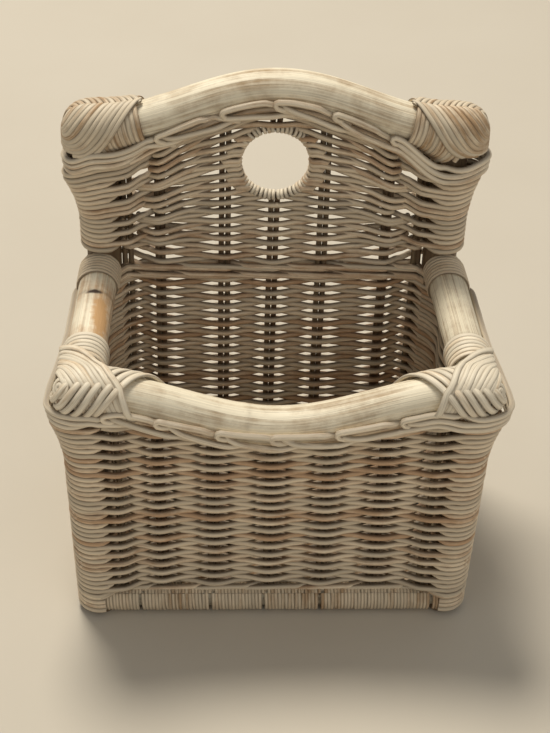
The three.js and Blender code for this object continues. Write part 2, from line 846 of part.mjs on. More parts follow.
// The hand hole cuts the middle stake of the back in two
for (const [end, place] of places) {
  const atBack = place === backRailPlace;
  const cutters = [topRail(place, clearance), bindingCutters(place), ...(atBack ? [handHole()] : [])];
  (atBack ? backStakePlaces : frontStakePlaces).forEach((x, i) => {
    const lengths = without(frontBackStake(x, place, 0), ...cutters).decompose();
    lengths.sort((a, b) => a.boundingBox().min[2] - b.boundingBox().min[2]);
    const names = [`${end}_stake_pair_${i + 1}`, `${end}_stake_pair_${i + 1}_above_hole`];
    lengths.forEach((length, k) => addPiece(names[k], length, stakeWood));
  });
}

addPiece('hand_hole_hoop', hoop(), reedWood);
addPiece('hand_hole_binding', hoopBinding(), caneBinding);

export default basket;
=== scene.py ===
import math
import random

import bpy
from mathutils import Matrix, Vector


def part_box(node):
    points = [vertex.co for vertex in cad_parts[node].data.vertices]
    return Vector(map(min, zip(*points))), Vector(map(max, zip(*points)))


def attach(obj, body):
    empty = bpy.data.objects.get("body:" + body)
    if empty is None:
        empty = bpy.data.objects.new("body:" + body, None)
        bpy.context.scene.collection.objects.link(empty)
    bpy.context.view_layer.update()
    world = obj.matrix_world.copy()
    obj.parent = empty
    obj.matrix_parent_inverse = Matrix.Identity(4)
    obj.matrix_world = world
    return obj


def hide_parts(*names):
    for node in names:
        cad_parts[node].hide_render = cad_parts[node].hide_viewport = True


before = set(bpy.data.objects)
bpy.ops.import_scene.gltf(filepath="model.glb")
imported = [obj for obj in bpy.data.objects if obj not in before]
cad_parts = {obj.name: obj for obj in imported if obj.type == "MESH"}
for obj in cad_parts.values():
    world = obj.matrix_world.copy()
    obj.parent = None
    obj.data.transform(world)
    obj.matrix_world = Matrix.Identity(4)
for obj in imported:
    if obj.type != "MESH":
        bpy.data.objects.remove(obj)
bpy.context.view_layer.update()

# Corner posts
# Four straight rattan poles that carry the whole basket, peeled, sanded and whitewashed.
# They are drawn upright in millimetres and then leaned, because the basket is wider in front.

post_x, post_y = 118.5, 73.5
post_diameter = 24.0
post_knot = 95.0
arm_height, back_rail_height = 190.0, 300.0
front_foot_span, front_rail_span, back_span = 240.0, 251.0, 237.0
lean_reach = 85.5
hands = ((-1, "left"), (1, "right"))


def paint(rgb):
    """A colour written in 0 to 255, as the linear values that a shader takes."""
    linear = [(c / 255 / 12.92) if c < 10 else ((c / 255 + 0.055) / 1.055) ** 2.4 for c in rgb]
    return (*linear, 1.0)


def leaned(point):
    """A place drawn upright in millimetres, in metres and moved outwards where the front is wider."""
    x, y, z = point
    front_span = front_foot_span + (front_rail_span - front_foot_span) * z / arm_height
    widening = (front_span - back_span) / 2 * (post_y - y) / (2 * post_y)
    return Vector((x + widening * max(-1.0, min(1.0, x / lean_reach)), y, z)) / 1000


def clamped(value, low=0.0, high=1.0):
    """The value, kept between two others."""
    return max(low, min(high, value))


def eased(share):
    """A share from 0 to 1 that starts and stops gently."""
    share = clamped(share)
    return share * share * (3 - 2 * share)


def add_node(tree, kind, inputs=None, **settings):
    """A new node with its settings, and its inputs given as values or as another node's output."""
    made = tree.nodes.new(kind)
    for name, value in settings.items():
        setattr(made, name, value)
    for key, value in (inputs or {}).items():
        socket = made.inputs[key]
        if isinstance(value, bpy.types.NodeSocket):
            tree.links.new(value, socket)
        else:
            socket.default_value = value
    return made


def add_sockets(tree, direction, sockets):
    for name, kind, value in sockets:
        socket = tree.interface.new_socket(name, in_out=direction, socket_type="NodeSocket" + kind)
        if value is not None:
            socket.default_value = value


def arithmetic(tree, operation, *values):
    return add_node(tree, "ShaderNodeMath", dict(enumerate(values)), operation=operation).outputs[0]


def vectors(tree, operation, *values):
    return add_node(tree, "ShaderNodeVectorMath", dict(enumerate(values)), operation=operation).outputs[0]


def scaled(tree, vector, factor):
    inputs = {"Vector": vector, "Scale": factor}
    return add_node(tree, "ShaderNodeVectorMath", inputs, operation="SCALE").outputs[0]


def make_strand_tree():
    """Turns drawn lines into strands.

    Each line weaves, wavers a little, and takes a round or flat section.
    """
    tree = bpy.data.node_groups.new("Rattan strands", "GeometryNodeTree")
    add_sockets(tree, "INPUT", [
        ("Lines", "Geometry", None), ("Diameter", "Float", 0.004), ("Flatness", "Float", 1.0),
        ("Sides", "Int", 8), ("Weave depth", "Float", 0.0), ("Crossing", "Float", 1.7),
        ("Unevenness", "Float", 0.0), ("Seed", "Float", 0.0), ("Material", "Material", None),
    ])
    add_sockets(tree, "OUTPUT", [("Strands", "Geometry", None)])
    given = add_node(tree, "NodeGroupInput").outputs

    def read(name, kind="FLOAT"):
        return add_node(tree, "GeometryNodeInputNamedAttribute", {0: name}, data_type=kind).outputs[0]

    def store(geometry, name, value, kind):
        inputs = {"Geometry": geometry, "Name": name, "Value": value}
        kept = add_node(tree, "GeometryNodeStoreNamedAttribute", inputs, data_type=kind, domain="POINT")
        return kept.outputs[0]

    out = read("out", "FLOAT_VECTOR")
    wave = arithmetic(tree, "COSINE", arithmetic(tree, "MULTIPLY", read("phase"), math.pi))
    steep = arithmetic(tree, "POWER", arithmetic(tree, "ABSOLUTE", wave), given["Crossing"])
    wave = arithmetic(tree, "MULTIPLY", steep, arithmetic(tree, "SIGN", wave))
    swayed = arithmetic(tree, "MULTIPLY", wave, read("sway"))
    push = arithmetic(tree, "MULTIPLY", swayed, given["Weave depth"])
    waver = add_node(tree, "ShaderNodeTexNoise", {
        "Vector": add_node(tree, "GeometryNodeInputPosition").outputs[0], "Scale": 55.0, "Detail": 1.0,
        "W": arithmetic(tree, "MULTIPLY_ADD", read("tone"), 40.0, given["Seed"]),
    }, noise_dimensions="4D").outputs["Color"]
    centred = vectors(tree, "SUBTRACT", waver, (0.5, 0.5, 0.5))
    wavered = scaled(tree, centred, arithmetic(tree, "MULTIPLY", given["Unevenness"], 4.0))
    shift = vectors(tree, "ADD", scaled(tree, out, push), wavered)
    moved = add_node(tree, "GeometryNodeSetPosition", {"Geometry": given["Lines"], "Offset": shift})
    lines = add_node(tree, "GeometryNodeMeshToCurve", {0: moved.outputs[0]}).outputs[0]
    along = add_node(tree, "GeometryNodeSplineParameter").outputs["Length"]
    measured = store(lines, "along", along, "FLOAT")
    tangent = add_node(tree, "GeometryNodeInputTangent").outputs[0]
    square = vectors(tree, "SUBTRACT", out, vectors(tree, "PROJECT", out, tangent))
    normal = vectors(tree, "NORMALIZE", square)
    faced = add_node(tree, "GeometryNodeSetCurveNormal", {0: measured, "Normal": normal}, mode="FREE")

    radius = arithmetic(tree, "DIVIDE", given["Diameter"], 2.0)
    round_inputs = {"Resolution": given["Sides"], "Radius": radius}
    circle = add_node(tree, "GeometryNodeCurvePrimitiveCircle", round_inputs)
    where = add_node(tree, "GeometryNodeInputPosition").outputs[0]
    unit = scaled(tree, where, arithmetic(tree, "DIVIDE", 1.0, radius))
    marked = store(circle.outputs[0], "section", unit, "FLOAT_VECTOR")
    flattening = add_node(tree, "ShaderNodeCombineXYZ", {"X": given["Flatness"], "Y": 1.0, "Z": 1.0})
    flat_place = vectors(tree, "MULTIPLY", where, flattening.outputs[0])
    section = add_node(tree, "GeometryNodeSetPosition", {"Geometry": marked, "Position": flat_place})
    swept = add_node(tree, "GeometryNodeCurveToMesh", {
        "Curve": faced.outputs[0], "Profile Curve": section.outputs[0],
        "Scale": read("girth"), "Fill Caps": True,
    })
    smooth = add_node(tree, "GeometryNodeSetShadeSmooth", {0: swept.outputs[0]})
    real = add_node(tree, "GeometryNodeRealizeInstances", {0: smooth.outputs[0]}).outputs[0]
    finished = add_node(tree, "GeometryNodeSetMaterial", {"Geometry": real, "Material": given["Material"]})
    add_node(tree, "NodeGroupOutput", {0: finished.outputs[0]})
    return tree


strand_tree = make_strand_tree()


def strand(points, outs, tone=0.5, girth=None, phase=None, sway=None, mark=None):
    """One drawn line, with what each of its points says to the strand tree."""
    count = len(points)
    outs = [outs] * count if isinstance(outs, tuple) else outs
    return {
        "points": points, "out": outs, "tone": [tone] * count, "girth": girth or [1.0] * count,
        "phase": phase or [0.0] * count, "sway": sway or [0.0] * count, "mark": mark or [0.0] * count,
    }


def grow(name, strands, material, nodes, diameter,
         sides=8, flatness=1.0, depth=0.0, uneven=0.0, seed=0.0):
    """Makes one piece of the basket from its drawn lines, and puts it in the place of its solid."""
    mesh = bpy.data.meshes.new(name)
    places, edges = [], []
    for line in strands:
        first = len(places)
        places.extend(leaned(point) for point in line["points"])
        edges.extend((i, i + 1) for i in range(first, len(places) - 1))
    mesh.from_pydata(places, edges, [])
    for key in ("tone", "girth", "phase", "sway", "mark"):
        values = [value for line in strands for value in line[key]]
        mesh.attributes.new(key, "FLOAT", "POINT").data.foreach_set("value", values)
    outs = [c for line in strands for out in line["out"] for c in out]
    mesh.attributes.new("out", "FLOAT_VECTOR", "POINT").data.foreach_set("vector", outs)
    piece = bpy.data.objects.new(name, mesh)
    bpy.context.scene.collection.objects.link(piece)
    growth = piece.modifiers.new("growth", "NODES")
    growth.node_group = strand_tree
    settings = {
        "Diameter": diameter / 1000, "Flatness": flatness, "Sides": sides, "Weave depth": depth / 1000,
        "Unevenness": uneven / 1000, "Seed": seed, "Material": material,
    }
    for socket in strand_tree.interface.items_tree:
        if socket.name in settings:
            growth[socket.identifier] = settings[socket.name]
    graph = bpy.context.evaluated_depsgraph_get()
    grown = piece.evaluated_get(graph)
    piece_mesh = bpy.data.meshes.new_from_object(grown, preserve_all_data_layers=True, depsgraph=graph)
    piece.modifiers.clear()
    piece.data = piece_mesh
    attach(piece, "root")
    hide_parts(*nodes)


def noise(tree, place, scale, detail, roughness=0.5):
    inputs = {"Vector": place, "Scale": scale, "Detail": detail, "Roughness": roughness}
    return add_node(tree, "ShaderNodeTexNoise", inputs).outputs["Fac"]


def ramp(tree, value, low, high):
    """A share that goes from 0 to 1 while a value goes from low to high."""
    inputs = {"Value": value, "From Min": low, "From Max": high}
    return add_node(tree, "ShaderNodeMapRange", inputs).outputs["Result"]


def blended(tree, share, colour, other):
    """One colour that turns into another as a share goes from 0 to 1."""
    return add_node(tree, "ShaderNodeMix", {0: share, 6: colour, 7: other}, data_type="RGBA").outputs[2]


def make_whitewash():
    """Thin white paint on rattan, worn off along the fibre, with grime and painted shade between the
    strands.
    """
    tree = bpy.data.node_groups.new("Whitewash", "ShaderNodeTree")
    add_sockets(tree, "INPUT", [
        ("Wash", "Color", None), ("Bare", "Color", None), ("Grime", "Color", None), ("Cover", "Float", 0.6),
        ("Streaks along", "Float", 30.0), ("Streaks across", "Float", 1.5), ("Hollows", "Float", 0.0),
        ("Spread", "Float", 0.2),
    ])
    add_sockets(tree, "OUTPUT", [
        ("Color", "Color", None), ("Roughness", "Float", None), ("Height", "Float", None),
    ])
    given = add_node(tree, "NodeGroupInput").outputs

    def read(name):
        return add_node(tree, "ShaderNodeAttribute", attribute_name=name).outputs

    section, tone = read("section")["Vector"], read("tone")["Fac"]
    lifted = add_node(tree, "ShaderNodeCombineXYZ", {
        "X": arithmetic(tree, "MULTIPLY", tone, 17.0), "Y": arithmetic(tree, "MULTIPLY", tone, 31.0),
        "Z": arithmetic(tree, "MULTIPLY", read("along")["Fac"], given["Streaks along"]),
    }).outputs[0]
    streak_place = vectors(tree, "ADD", scaled(tree, section, given["Streaks across"]), lifted)
    streaks = noise(tree, streak_place, 1.0, 5.0, 0.62)
    fibres = noise(tree, vectors(tree, "MULTIPLY", streak_place, (6.0, 6.0, 0.8)), 1.0, 3.0)
    patches = noise(tree, add_node(tree, "ShaderNodeTexCoord").outputs["Object"], 34.0, 6.0, 0.66)
    streaks_share = arithmetic(tree, "MULTIPLY", streaks, 0.55)
    thin = arithmetic(tree, "ADD", streaks_share, arithmetic(tree, "MULTIPLY", patches, 0.45))
    own_tone = arithmetic(tree, "SUBTRACT", tone, 0.5)
    thin = arithmetic(tree, "MULTIPLY_ADD", own_tone, given["Spread"], thin)
    first_worn = arithmetic(tree, "SUBTRACT", given["Cover"], 0.09)
    worn = ramp(tree, thin, first_worn, arithmetic(tree, "ADD", given["Cover"], 0.11))
    washed = blended(tree, worn, given["Wash"], given["Bare"])
    # The sides of a strand that face its neighbours take the darker colour. This is partly grime and partly
    # painted shade between the strands; knot marks use the same colour.
    side = arithmetic(tree, "ABSOLUTE", add_node(tree, "ShaderNodeSeparateXYZ", {0: section}).outputs["X"])
    hollow = ramp(tree, side, 0.93, 0.2)
    grainy = arithmetic(tree, "MULTIPLY_ADD", fibres, 0.8, 0.35)
    grime_and_shade_share = arithmetic(tree, "MULTIPLY", arithmetic(tree, "MULTIPLY", hollow, grainy), given["Hollows"])
    grime_and_shade_share = arithmetic(tree, "MAXIMUM", grime_and_shade_share, read("mark")["Fac"])
    soiled_and_shaded = blended(tree, grime_and_shade_share, washed, given["Grime"])
    lightness = arithmetic(tree, "MULTIPLY_ADD", fibres, 0.8, 0.57)
    lightness = arithmetic(tree, "MULTIPLY_ADD", own_tone, given["Spread"], lightness)
    rough = arithmetic(tree, "MULTIPLY_ADD", worn, 0.18, 0.5)
    raised = arithmetic(tree, "SUBTRACT", fibres, arithmetic(tree, "MULTIPLY", worn, 0.35))
    add_node(tree, "NodeGroupOutput", {0: scaled(tree, soiled_and_shaded, lightness), 1: rough, 2: raised})
    return tree


whitewash = make_whitewash()


def washed_material(name, bump, **values):
    """A whitewashed rattan finish, with its colours in 0 to 255 and the height of its fibres."""
    material = bpy.data.materials.new(name)
    material.use_nodes = True
    tree = material.node_tree
    shader = tree.nodes["Principled BSDF"]
    coat = add_node(tree, "ShaderNodeGroup", node_tree=whitewash)
    for key, value in values.items():
        socket = coat.inputs[key.replace("_", " ").capitalize()]
        socket.default_value = paint(value) if isinstance(value, tuple) else value
    inputs = {"Height": coat.outputs["Height"], "Strength": 0.6, "Distance": bump / 1000}
    raised = add_node(tree, "ShaderNodeBump", inputs)
    tree.links.new(coat.outputs["Color"], shader.inputs["Base Color"])
    tree.links.new(coat.outputs["Roughness"], shader.inputs["Roughness"])
    tree.links.new(raised.outputs["Normal"], shader.inputs["Normal"])
    return material


def pole_line(points, out, radius, domed=False, knots=(), tone=0.5):
    """A pole from its centre line, in short steps, with swollen knots and domed or cut ends."""
    lengths = [0.0]
    for a, b in zip(points, points[1:]):
        lengths.append(lengths[-1] + (Vector(b) - Vector(a)).length)
    total = lengths[-1]
    end_steps = [0.0, 0.4, 1.2, 2.5, 4.5, 7.0, 10.0]
    between = total - 2 * end_steps[-1]
    count = int(between / 3)
    places = end_steps + [end_steps[-1] + between * i / count for i in range(1, count)]
    places += [total - step for step in reversed(end_steps)]
    line, girth, mark = [], [], []
    for place in places:
        i = max(1, next((n for n, length in enumerate(lengths) if length >= place), len(lengths) - 1))
        share = (place - lengths[i - 1]) / (lengths[i] - lengths[i - 1])
        line.append(Vector(points[i - 1]).lerp(Vector(points[i]), share))
        end = min(place, total - place)
        if domed:
            width = math.sqrt(1 - (1 - min(end, radius) / radius) ** 2)
        else:
            width = 1 - 0.08 * (1 - clamped(end / 1.5)) ** 2
        near = min((abs(place - knot) for knot in knots), default=99.0)
        width *= 1 + 0.03 * math.exp(-(near / 4) ** 2) - 0.02 * math.exp(-(near / 1.2) ** 2)
        girth.append(max(0.02, width))
        mark.append(0.3 * math.exp(-(near / 0.9) ** 2))
    return strand(line, out, tone, girth, mark=mark)


# The posts show only in the slots between the rows, so their colours are painted shade: dark brown rather
# than the whitewash they really carry.
shade_darkened_post_paint = washed_material(
    "post darkened with painted shade", 0.5, wash=(128, 108, 82), bare=(92, 70, 48), grime=(60, 45, 32),
    cover=0.5, streaks_along=14.0, streaks_across=2.6, spread=0.0)
for side, side_name in hands:
    for depth_sign, end_name, top in ((-1, "front", arm_height), (1, "back", back_rail_height)):
        centre = [(side * post_x, depth_sign * post_y, z) for z in (0.0, top / 2, top - 1)]
        pole = pole_line(centre, (0.0, -1.0, 0.0), post_diameter / 2, knots=(post_knot,))
        grow(f"{end_name}_{side_name}_corner_post", [pole], shade_darkened_post_paint,
             [f"{end_name}_{side_name}_post"], post_diameter, sides=32)

# Top rails
# Two thicker rattan poles, steamed and bent: the front one dips for the hand, the back one arches.
# Their ends stand out past the posts, and each is nailed down onto its post.

pole_diameter = 26.0
front_rail_dip, back_rail_arch = -28.0, 29.0
rail_reach = 16.0
pole_paint = washed_material(
    "whitewashed pole", 0.5, wash=(246, 236, 212), bare=(164, 134, 96), grime=(96, 76, 56),
    cover=0.55, streaks_along=9.0, streaks_across=4.5, spread=0.0)


def top_rail(back):
    """A top rail's place in depth, its height over the posts, and how far its middle swings."""
    return (post_y, back_rail_height, back_rail_arch) if back else (-post_y, arm_height, front_rail_dip)


def bend_share(x):
    """How much of a rail's swing it has at a place: all of it in the middle, none past the posts."""
    return (1 + math.cos(math.pi * min(abs(x) / post_x, 1.0))) / 2


def rail_z(x, back):
    """The height of a top rail's centre line at a place across the basket."""
    _, height, swing = top_rail(back)
    return height + swing * bend_share(x)


for back, end_name, knot in ((False, "front", 118.0), (True, "back", 60.0)):
    rail_end = post_x + rail_reach
    rail_y, _, _ = top_rail(back)
    centre = [(x, rail_y, rail_z(x, back)) for x in [rail_end * (i / 40 - 1) for i in range(81)]]
    pole = pole_line(centre, (0.0, -1.0, 0.0), pole_diameter / 2, domed=True, knots=(knot,))
    grow(f"{end_name}_rail_pole", [pole], pole_paint, [f"{end_name}_top_rail"],
         pole_diameter, sides=40)

# Arms
# A straight pole on each side, from over the front rail's end back to the tall post.
# The left one is rubbed to the tan wood near its front, and has a dark knot near the back.

arm_x = 120.5
arm_front_y, arm_back_y = -68.5, 69.5
rubbed_tan, knot_brown = (202, 162, 116), (58, 42, 30)

rubbed_pole_paint = washed_material(
    "rubbed pole", 0.6, wash=(241, 231, 208), bare=(180, 138, 94), grime=(70, 54, 40),
    cover=0.53, streaks_along=9.0, streaks_across=4.0, spread=0.0)
weathered_pole_paint = washed_material(
    "weathered pole", 1.0, wash=(238, 228, 204), bare=(160, 130, 96), grime=(70, 54, 40),
    cover=0.55, streaks_along=6.0, streaks_across=8.0, spread=0.0)


def stain(material, place, size, colour):
    """Lays a ragged spot of another colour on a material, about a place in the basket."""
    tree = material.node_tree
    shader = tree.nodes["Principled BSDF"]
    below = shader.inputs["Base Color"].links[0].from_socket
    here = add_node(tree, "ShaderNodeTexCoord").outputs["Object"]
    away = vectors(tree, "SUBTRACT", here, tuple(leaned(place)))
    away = vectors(tree, "MULTIPLY", away, tuple(1000 / s for s in size))
    distance = add_node(tree, "ShaderNodeVectorMath", {0: away}, operation="LENGTH").outputs["Value"]
    share = ramp(tree, arithmetic(tree, "ADD", distance, noise(tree, here, 240.0, 4.0)), 1.65, 1.15)
    tree.links.new(blended(tree, share, below, paint(colour)), shader.inputs["Base Color"])


stain(rubbed_pole_paint, (-arm_x + 7, arm_front_y + 62, arm_height + 10), (6, 26, 12), rubbed_tan)
stain(rubbed_pole_paint, (-arm_x + 1, arm_front_y + 87, arm_height + 13), (5.6, 2.6, 5), knot_brown)
arm_finishes = {"left": (rubbed_pole_paint, 88.5, 0.1), "right": (weathered_pole_paint, 40.0, 0.5)}
for side, side_name in hands:
    arm_paint, knot, tone = arm_finishes[side_name]
    depths = [arm_front_y + (arm_back_y - arm_front_y) * i / 10 for i in range(11)]
    centre = [(side * arm_x, y, arm_height) for y in depths]
    pole = pole_line(centre, (0.0, 0.0, 1.0), pole_diameter / 2, knots=(knot,), tone=tone)
    grow(f"{side_name}_arm_pole", [pole], arm_paint, [f"{side_name}_arm_rail"],
         pole_diameter, sides=40)

# Foot rails
# Four thin poles between the feet of the posts carry the floor and the lowest rows.
# Flat cane is wound close round each of them, and here and there a turn has slipped.

foot_rail_diameter = 16.0
foot_rail_height = 10.0
foot_rail_x, foot_rail_y = 121.0, 76.0
wrap_cane = 2.7
wrap_pitch = 2.28
wrap_radius = foot_rail_diameter / 2 + 1.1
wrap_outset = 2.0
wrap_margin = 3.0
wrap_joint = 2.2
slip_gap = 2.0
slipped_turns = {
    "front": (-92.0, -44.0, -8.0, 31.0, 109.0), "back": (-70.0, 20.0), "left": (-30.0,), "right": (12.0,),
}
to_right, to_left = Vector((1, 0, 0)), Vector((-1, 0, 0))
to_back, to_front = Vector((0, 1, 0)), Vector((0, -1, 0))
upwards = Vector((0, 0, 1))

foot_cane_paint = washed_material(
    "worn foot cane", 0.25, wash=(238, 220, 192), bare=(176, 147, 114), grime=(70, 54, 40),
    cover=0.56, streaks_along=40.0, streaks_across=1.2, hollows=0.9, spread=0.5)
chance = random.Random(7)

foot_rails = {
    "front": (Vector((0, -foot_rail_y, foot_rail_height)), to_right, to_back, post_x),
    "back": (Vector((0, foot_rail_y, foot_rail_height)), to_right, to_back, post_x),
    "left": (Vector((-foot_rail_x, 0, foot_rail_height)), to_back, to_right, post_y),
    "right": (Vector((foot_rail_x, 0, foot_rail_height)), to_back, to_right, post_y),
}
for name, (middle, run, across, half) in foot_rails.items():
    centre = [tuple(middle + run * (half * share)) for share in (-1.0, 0.0, 1.0)]
    pole = pole_line(centre, (0.0, 0.0, 1.0), foot_rail_diameter / 2)
    grow(f"{name}_foot_pole", [pole], pole_paint, [f"{name}_foot_rail"],
         foot_rail_diameter, sides=24)
    outward = Vector((middle.x, middle.y, 0.0)).normalized()
    wraps, place, turn_tone = [], -half + wrap_margin, 0.5
    while place < half - wrap_margin:
        slipped = any(place < slip <= place + wrap_pitch for slip in slipped_turns[name])
        lean = chance.uniform(-0.25, 0.25)
        turn_tone = clamped(turn_tone * 0.5 + chance.random() * 0.5)
        radius = wrap_radius + chance.uniform(-0.15, 0.2)
        points, outs = [], []
        for i in range(17):
            angle = 2 * math.pi * i / 16 + wrap_joint
            around = across * math.cos(angle) + upwards * math.sin(angle)
            shift = place + wrap_pitch * i / 16 + lean * math.sin(angle)
            points.append(middle + outward * wrap_outset + run * shift + around * radius)
            outs.append(tuple(around))
        wraps.append(strand(points, outs, turn_tone))
        place += wrap_pitch + (slip_gap if slipped else 0.0)
    grow(f"{name}_foot_cane", wraps, foot_cane_paint, [f"{name}_foot_rail_wrap"],
         wrap_cane, sides=6, flatness=0.6, uneven=0.12, seed=3.0)

# Stakes
# Pairs of round reed stand in every wall, seven in front and back and two in each side.
# The pair in the middle of the back stops under the hand hole and starts again above it.

reed_diameter = 4.0
stake_outset = 1.5
stake_foot = 20.6
stake_drop = 8.0
stake_reach = 101.9
front_stakes = [stake_reach * share for share in (-1, -0.72, -0.39, -0.03, 0.32, 0.66, 1)]
back_stakes = [stake_reach * share for share in (-1, -0.775, -0.334, 0, 0.334, 0.775, 1)]
side_stakes = [-18.75, 18.75]
middle_pair = 4
hoop_y = post_y + stake_outset
hole_z = 272.0
hoop_radius = 26.05

stake_paint = washed_material(
    "whitewashed stake", 0.25, wash=(132, 114, 90), bare=(96, 74, 52), grime=(58, 44, 32),
    cover=0.5, streaks_along=22.0, streaks_across=1.2, hollows=0.4, spread=0.25)


def stake_pair(name, node, centre, across, foot, top):
    """Two reeds side by side, each with a slight bow of its own."""
    pair = []
    for step in (-1, 1):
        bow = chance.uniform(-0.6, 0.6)
        points = []
        for i in range(13):
            share = i / 12
            aside = step * reed_diameter / 2 + bow * math.sin(math.pi * share)
            x, y = centre[0] + across[0] * aside, centre[1] + across[1] * aside
            points.append((x, y, foot + (top - foot) * share))
        pair.append(strand(points, (across[1], -across[0], 0.0), chance.random()))
    grow(name, pair, stake_paint, [node], reed_diameter, sides=10, uneven=0.2, seed=5.0)


for i, x in enumerate(front_stakes, 1):
    stake_pair(f"front_reeds_{i}", f"front_stake_pair_{i}", (x, -post_y - stake_outset), (1.0, 0.0),
               stake_foot, rail_z(x, False) - stake_drop)
for i, x in enumerate(back_stakes, 1):
    top = rail_z(x, True) - stake_drop
    lower_top = hole_z - hoop_radius - 1 if i == middle_pair else top
    stake_pair(f"back_reeds_{i}", f"back_stake_pair_{i}", (x, hoop_y), (1.0, 0.0), stake_foot, lower_top)
    if i == middle_pair:
        stake_pair("back_reeds_4_above_hole", "back_stake_pair_4_above_hole", (x, hoop_y), (1.0, 0.0),
                   hole_z + hoop_radius + 1, top)
for side, side_name in hands:
    for i, y in enumerate(side_stakes, 1):
        spot = (side * (post_x + stake_outset), y)
        stake_pair(f"{side_name}_reeds_{i}", f"{side_name}_stake_pair_{i}", spot, (0.0, 1.0),
                   stake_foot, arm_height - stake_drop)

# Floor
# Four pairs of reed lie across between the long foot rails, and weavers run the long way
# over and under them, packed close.

floor_stakes = [-83.7, -27.9, 27.9, 83.7]
floor_half_length, floor_half_depth = 109.0, 66.0
floor_rows_each_way = 17
weaver_diameter = 4.25
weave_depth = 3.95
row_pitch = 3.94
# Strong hollows: the gaps between the packed rows are darkened, partly as grime and partly as painted
# shade.
reed_paint = washed_material(
    "whitewashed reed", 0.22, wash=(240, 222, 194), bare=(186, 154, 122), grime=(84, 63, 46),
    cover=0.57, streaks_along=26.0, streaks_across=1.1, hollows=0.95, spread=0.46)

for i, x in enumerate(floor_stakes, 1):
    pair = []
    for step in (-1, 1):
        reed_x = x + step * reed_diameter / 2
        points = [(reed_x, floor_half_depth * (j / 6 - 1), foot_rail_height) for j in range(13)]
        pair.append(strand(points, (0.0, 0.0, 1.0), chance.random()))
    grow(f"floor_reeds_{i}", pair, stake_paint, [f"floor_stake_pair_{i}"],
         reed_diameter, sides=8, uneven=0.2)


def stake_phase(place, stakes):
    """How many stakes a weaver has passed, in whole numbers at the stakes themselves."""
    if place <= stakes[0]:
        return (place - stakes[0]) / (stakes[1] - stakes[0])
    for i in range(len(stakes) - 1):
        if place <= stakes[i + 1]:
            return i + (place - stakes[i]) / (stakes[i + 1] - stakes[i])
    return len(stakes) - 1 + (place - stakes[-1]) / (stakes[-1] - stakes[-2])


floor_rows = []
for k in range(-floor_rows_each_way, floor_rows_each_way + 1):
    places = [-floor_half_length + 2 * floor_half_length * i / 60 for i in range(61)]
    points = [(x, k * row_pitch, foot_rail_height) for x in places]
    phase = [k + stake_phase(x, floor_stakes) for x in places]
    floor_rows.append(strand(points, (0.0, 0.0, 1.0), chance.random(), phase=phase, sway=[1.0] * 61))
grow("floor_weaving", floor_rows, reed_paint, ["floor_weave"],
     weaver_diameter, sides=6, depth=weave_depth, uneven=0.25)

# Woven walls
# One round reed at a time passes in front of and behind the pairs, row on row, and goes round
# the outside of the posts. The rows are packed close, so they show stakes only in narrow gaps.

first_row_z = 23.0
row_count = 40
spare_tones = 60
row_step = 2.9
post_pass = post_diameter / 2 + 2.15
post_step = 7.5
post_margin = 3.0
inside_turn = 10.1
arm_border_z = 170.5
lower_swell = (171.0, 38.0, 8.0)
walls = {
    "front": (Vector((-post_x, -post_y, 0)), to_right, to_front, 2 * post_x,
              [x + post_x for x in front_stakes]),
    "right": (Vector((post_x, -post_y, 0)), to_back, to_right, 2 * post_y,
              [y + post_y for y in side_stakes]),
    "back": (Vector((post_x, post_y, 0)), to_left, to_back, 2 * post_x,
             [post_x - x for x in reversed(back_stakes)]),
    "left": (Vector((-post_x, post_y, 0)), to_front, to_left, 2 * post_y,
             [post_y - y for y in reversed(side_stakes)]),
}
pairs_passed = {"front": 0, "right": 8, "back": 10, "left": 18}
inside_ends = {"front": (False, False), "right": (False, True), "back": (True, True), "left": (True, False)}


def swollen(x, z, top, height, reach):
    """Near their top the rows at the posts stand out sideways, over the bindings."""
    rise = clamped((z - top + height) / height)
    share = clamped((abs(x) - post_x + 12) / 24)
    return x + math.copysign(reach * rise * rise * share, x)


def weave_offset(place, stakes, length, near):
    """How far out of the wall's own plane a weaver lies, as a middle line and a sway about it.

    Next to a post, the weavers that stay on its side run on gently to the first stake, and the
    others hug the post and turn in sharply.
    """
    front, behind = stake_outset + weave_depth, stake_outset - weave_depth
    from_post = min(place, length - place)
    first = stakes[0] if place < length / 2 else length - stakes[-1]
    pair_by_post = first < 30
    reach = first + (34 if pair_by_post else 16)
    if from_post > reach:
        return stake_outset, 1.0
    gentle = 1 - from_post / reach
    behind += 0.4 * weave_depth * gentle if near > 0 else 0.0
    tight = 1 - eased((from_post / first) ** (1.8 if pair_by_post else 1.0))
    ahead = front + (near - front) * (gentle if near > 0 else tight)
    back = behind + (near - behind) * (tight if near > 0 else gentle)
    return (ahead + back) / 2, (ahead - back) / (2 * weave_depth)


def inside_offset(along, first_stake):
    """The same where the weavers cut a back corner on the inside of its post."""
    reach = first_stake - inside_turn
    share = clamped((along - inside_turn) / reach, -1, 1)
    leaving = (share ** 3 - 2 * share ** 2 + share) * reach
    curve = leaving - inside_turn * (2 * share ** 3 - 3 * share ** 2 + 1)
    level = 3 * share ** 2 - 2 * share ** 3
    return curve + stake_outset * level, level


def cut_corner(name, place):
    """The inside offset at a place on a wall before or after a back post, or nothing elsewhere."""
    _, _, _, length, stakes = walls[name]
    inside_first, inside_last = inside_ends[name]
    if inside_first and place < stakes[0]:
        return inside_offset(place, stakes[0])
    if inside_last and place > stakes[-1]:
        return inside_offset(length - place, length - stakes[-1])
    return None


def beside_post(corner, run, out, step):
    """A place on the weavers' way round a post, and which way is out there."""
    angle = math.radians(post_step * step)
    direction = run * math.sin(angle) + out * math.cos(angle)
    return corner + direction * post_pass, direction


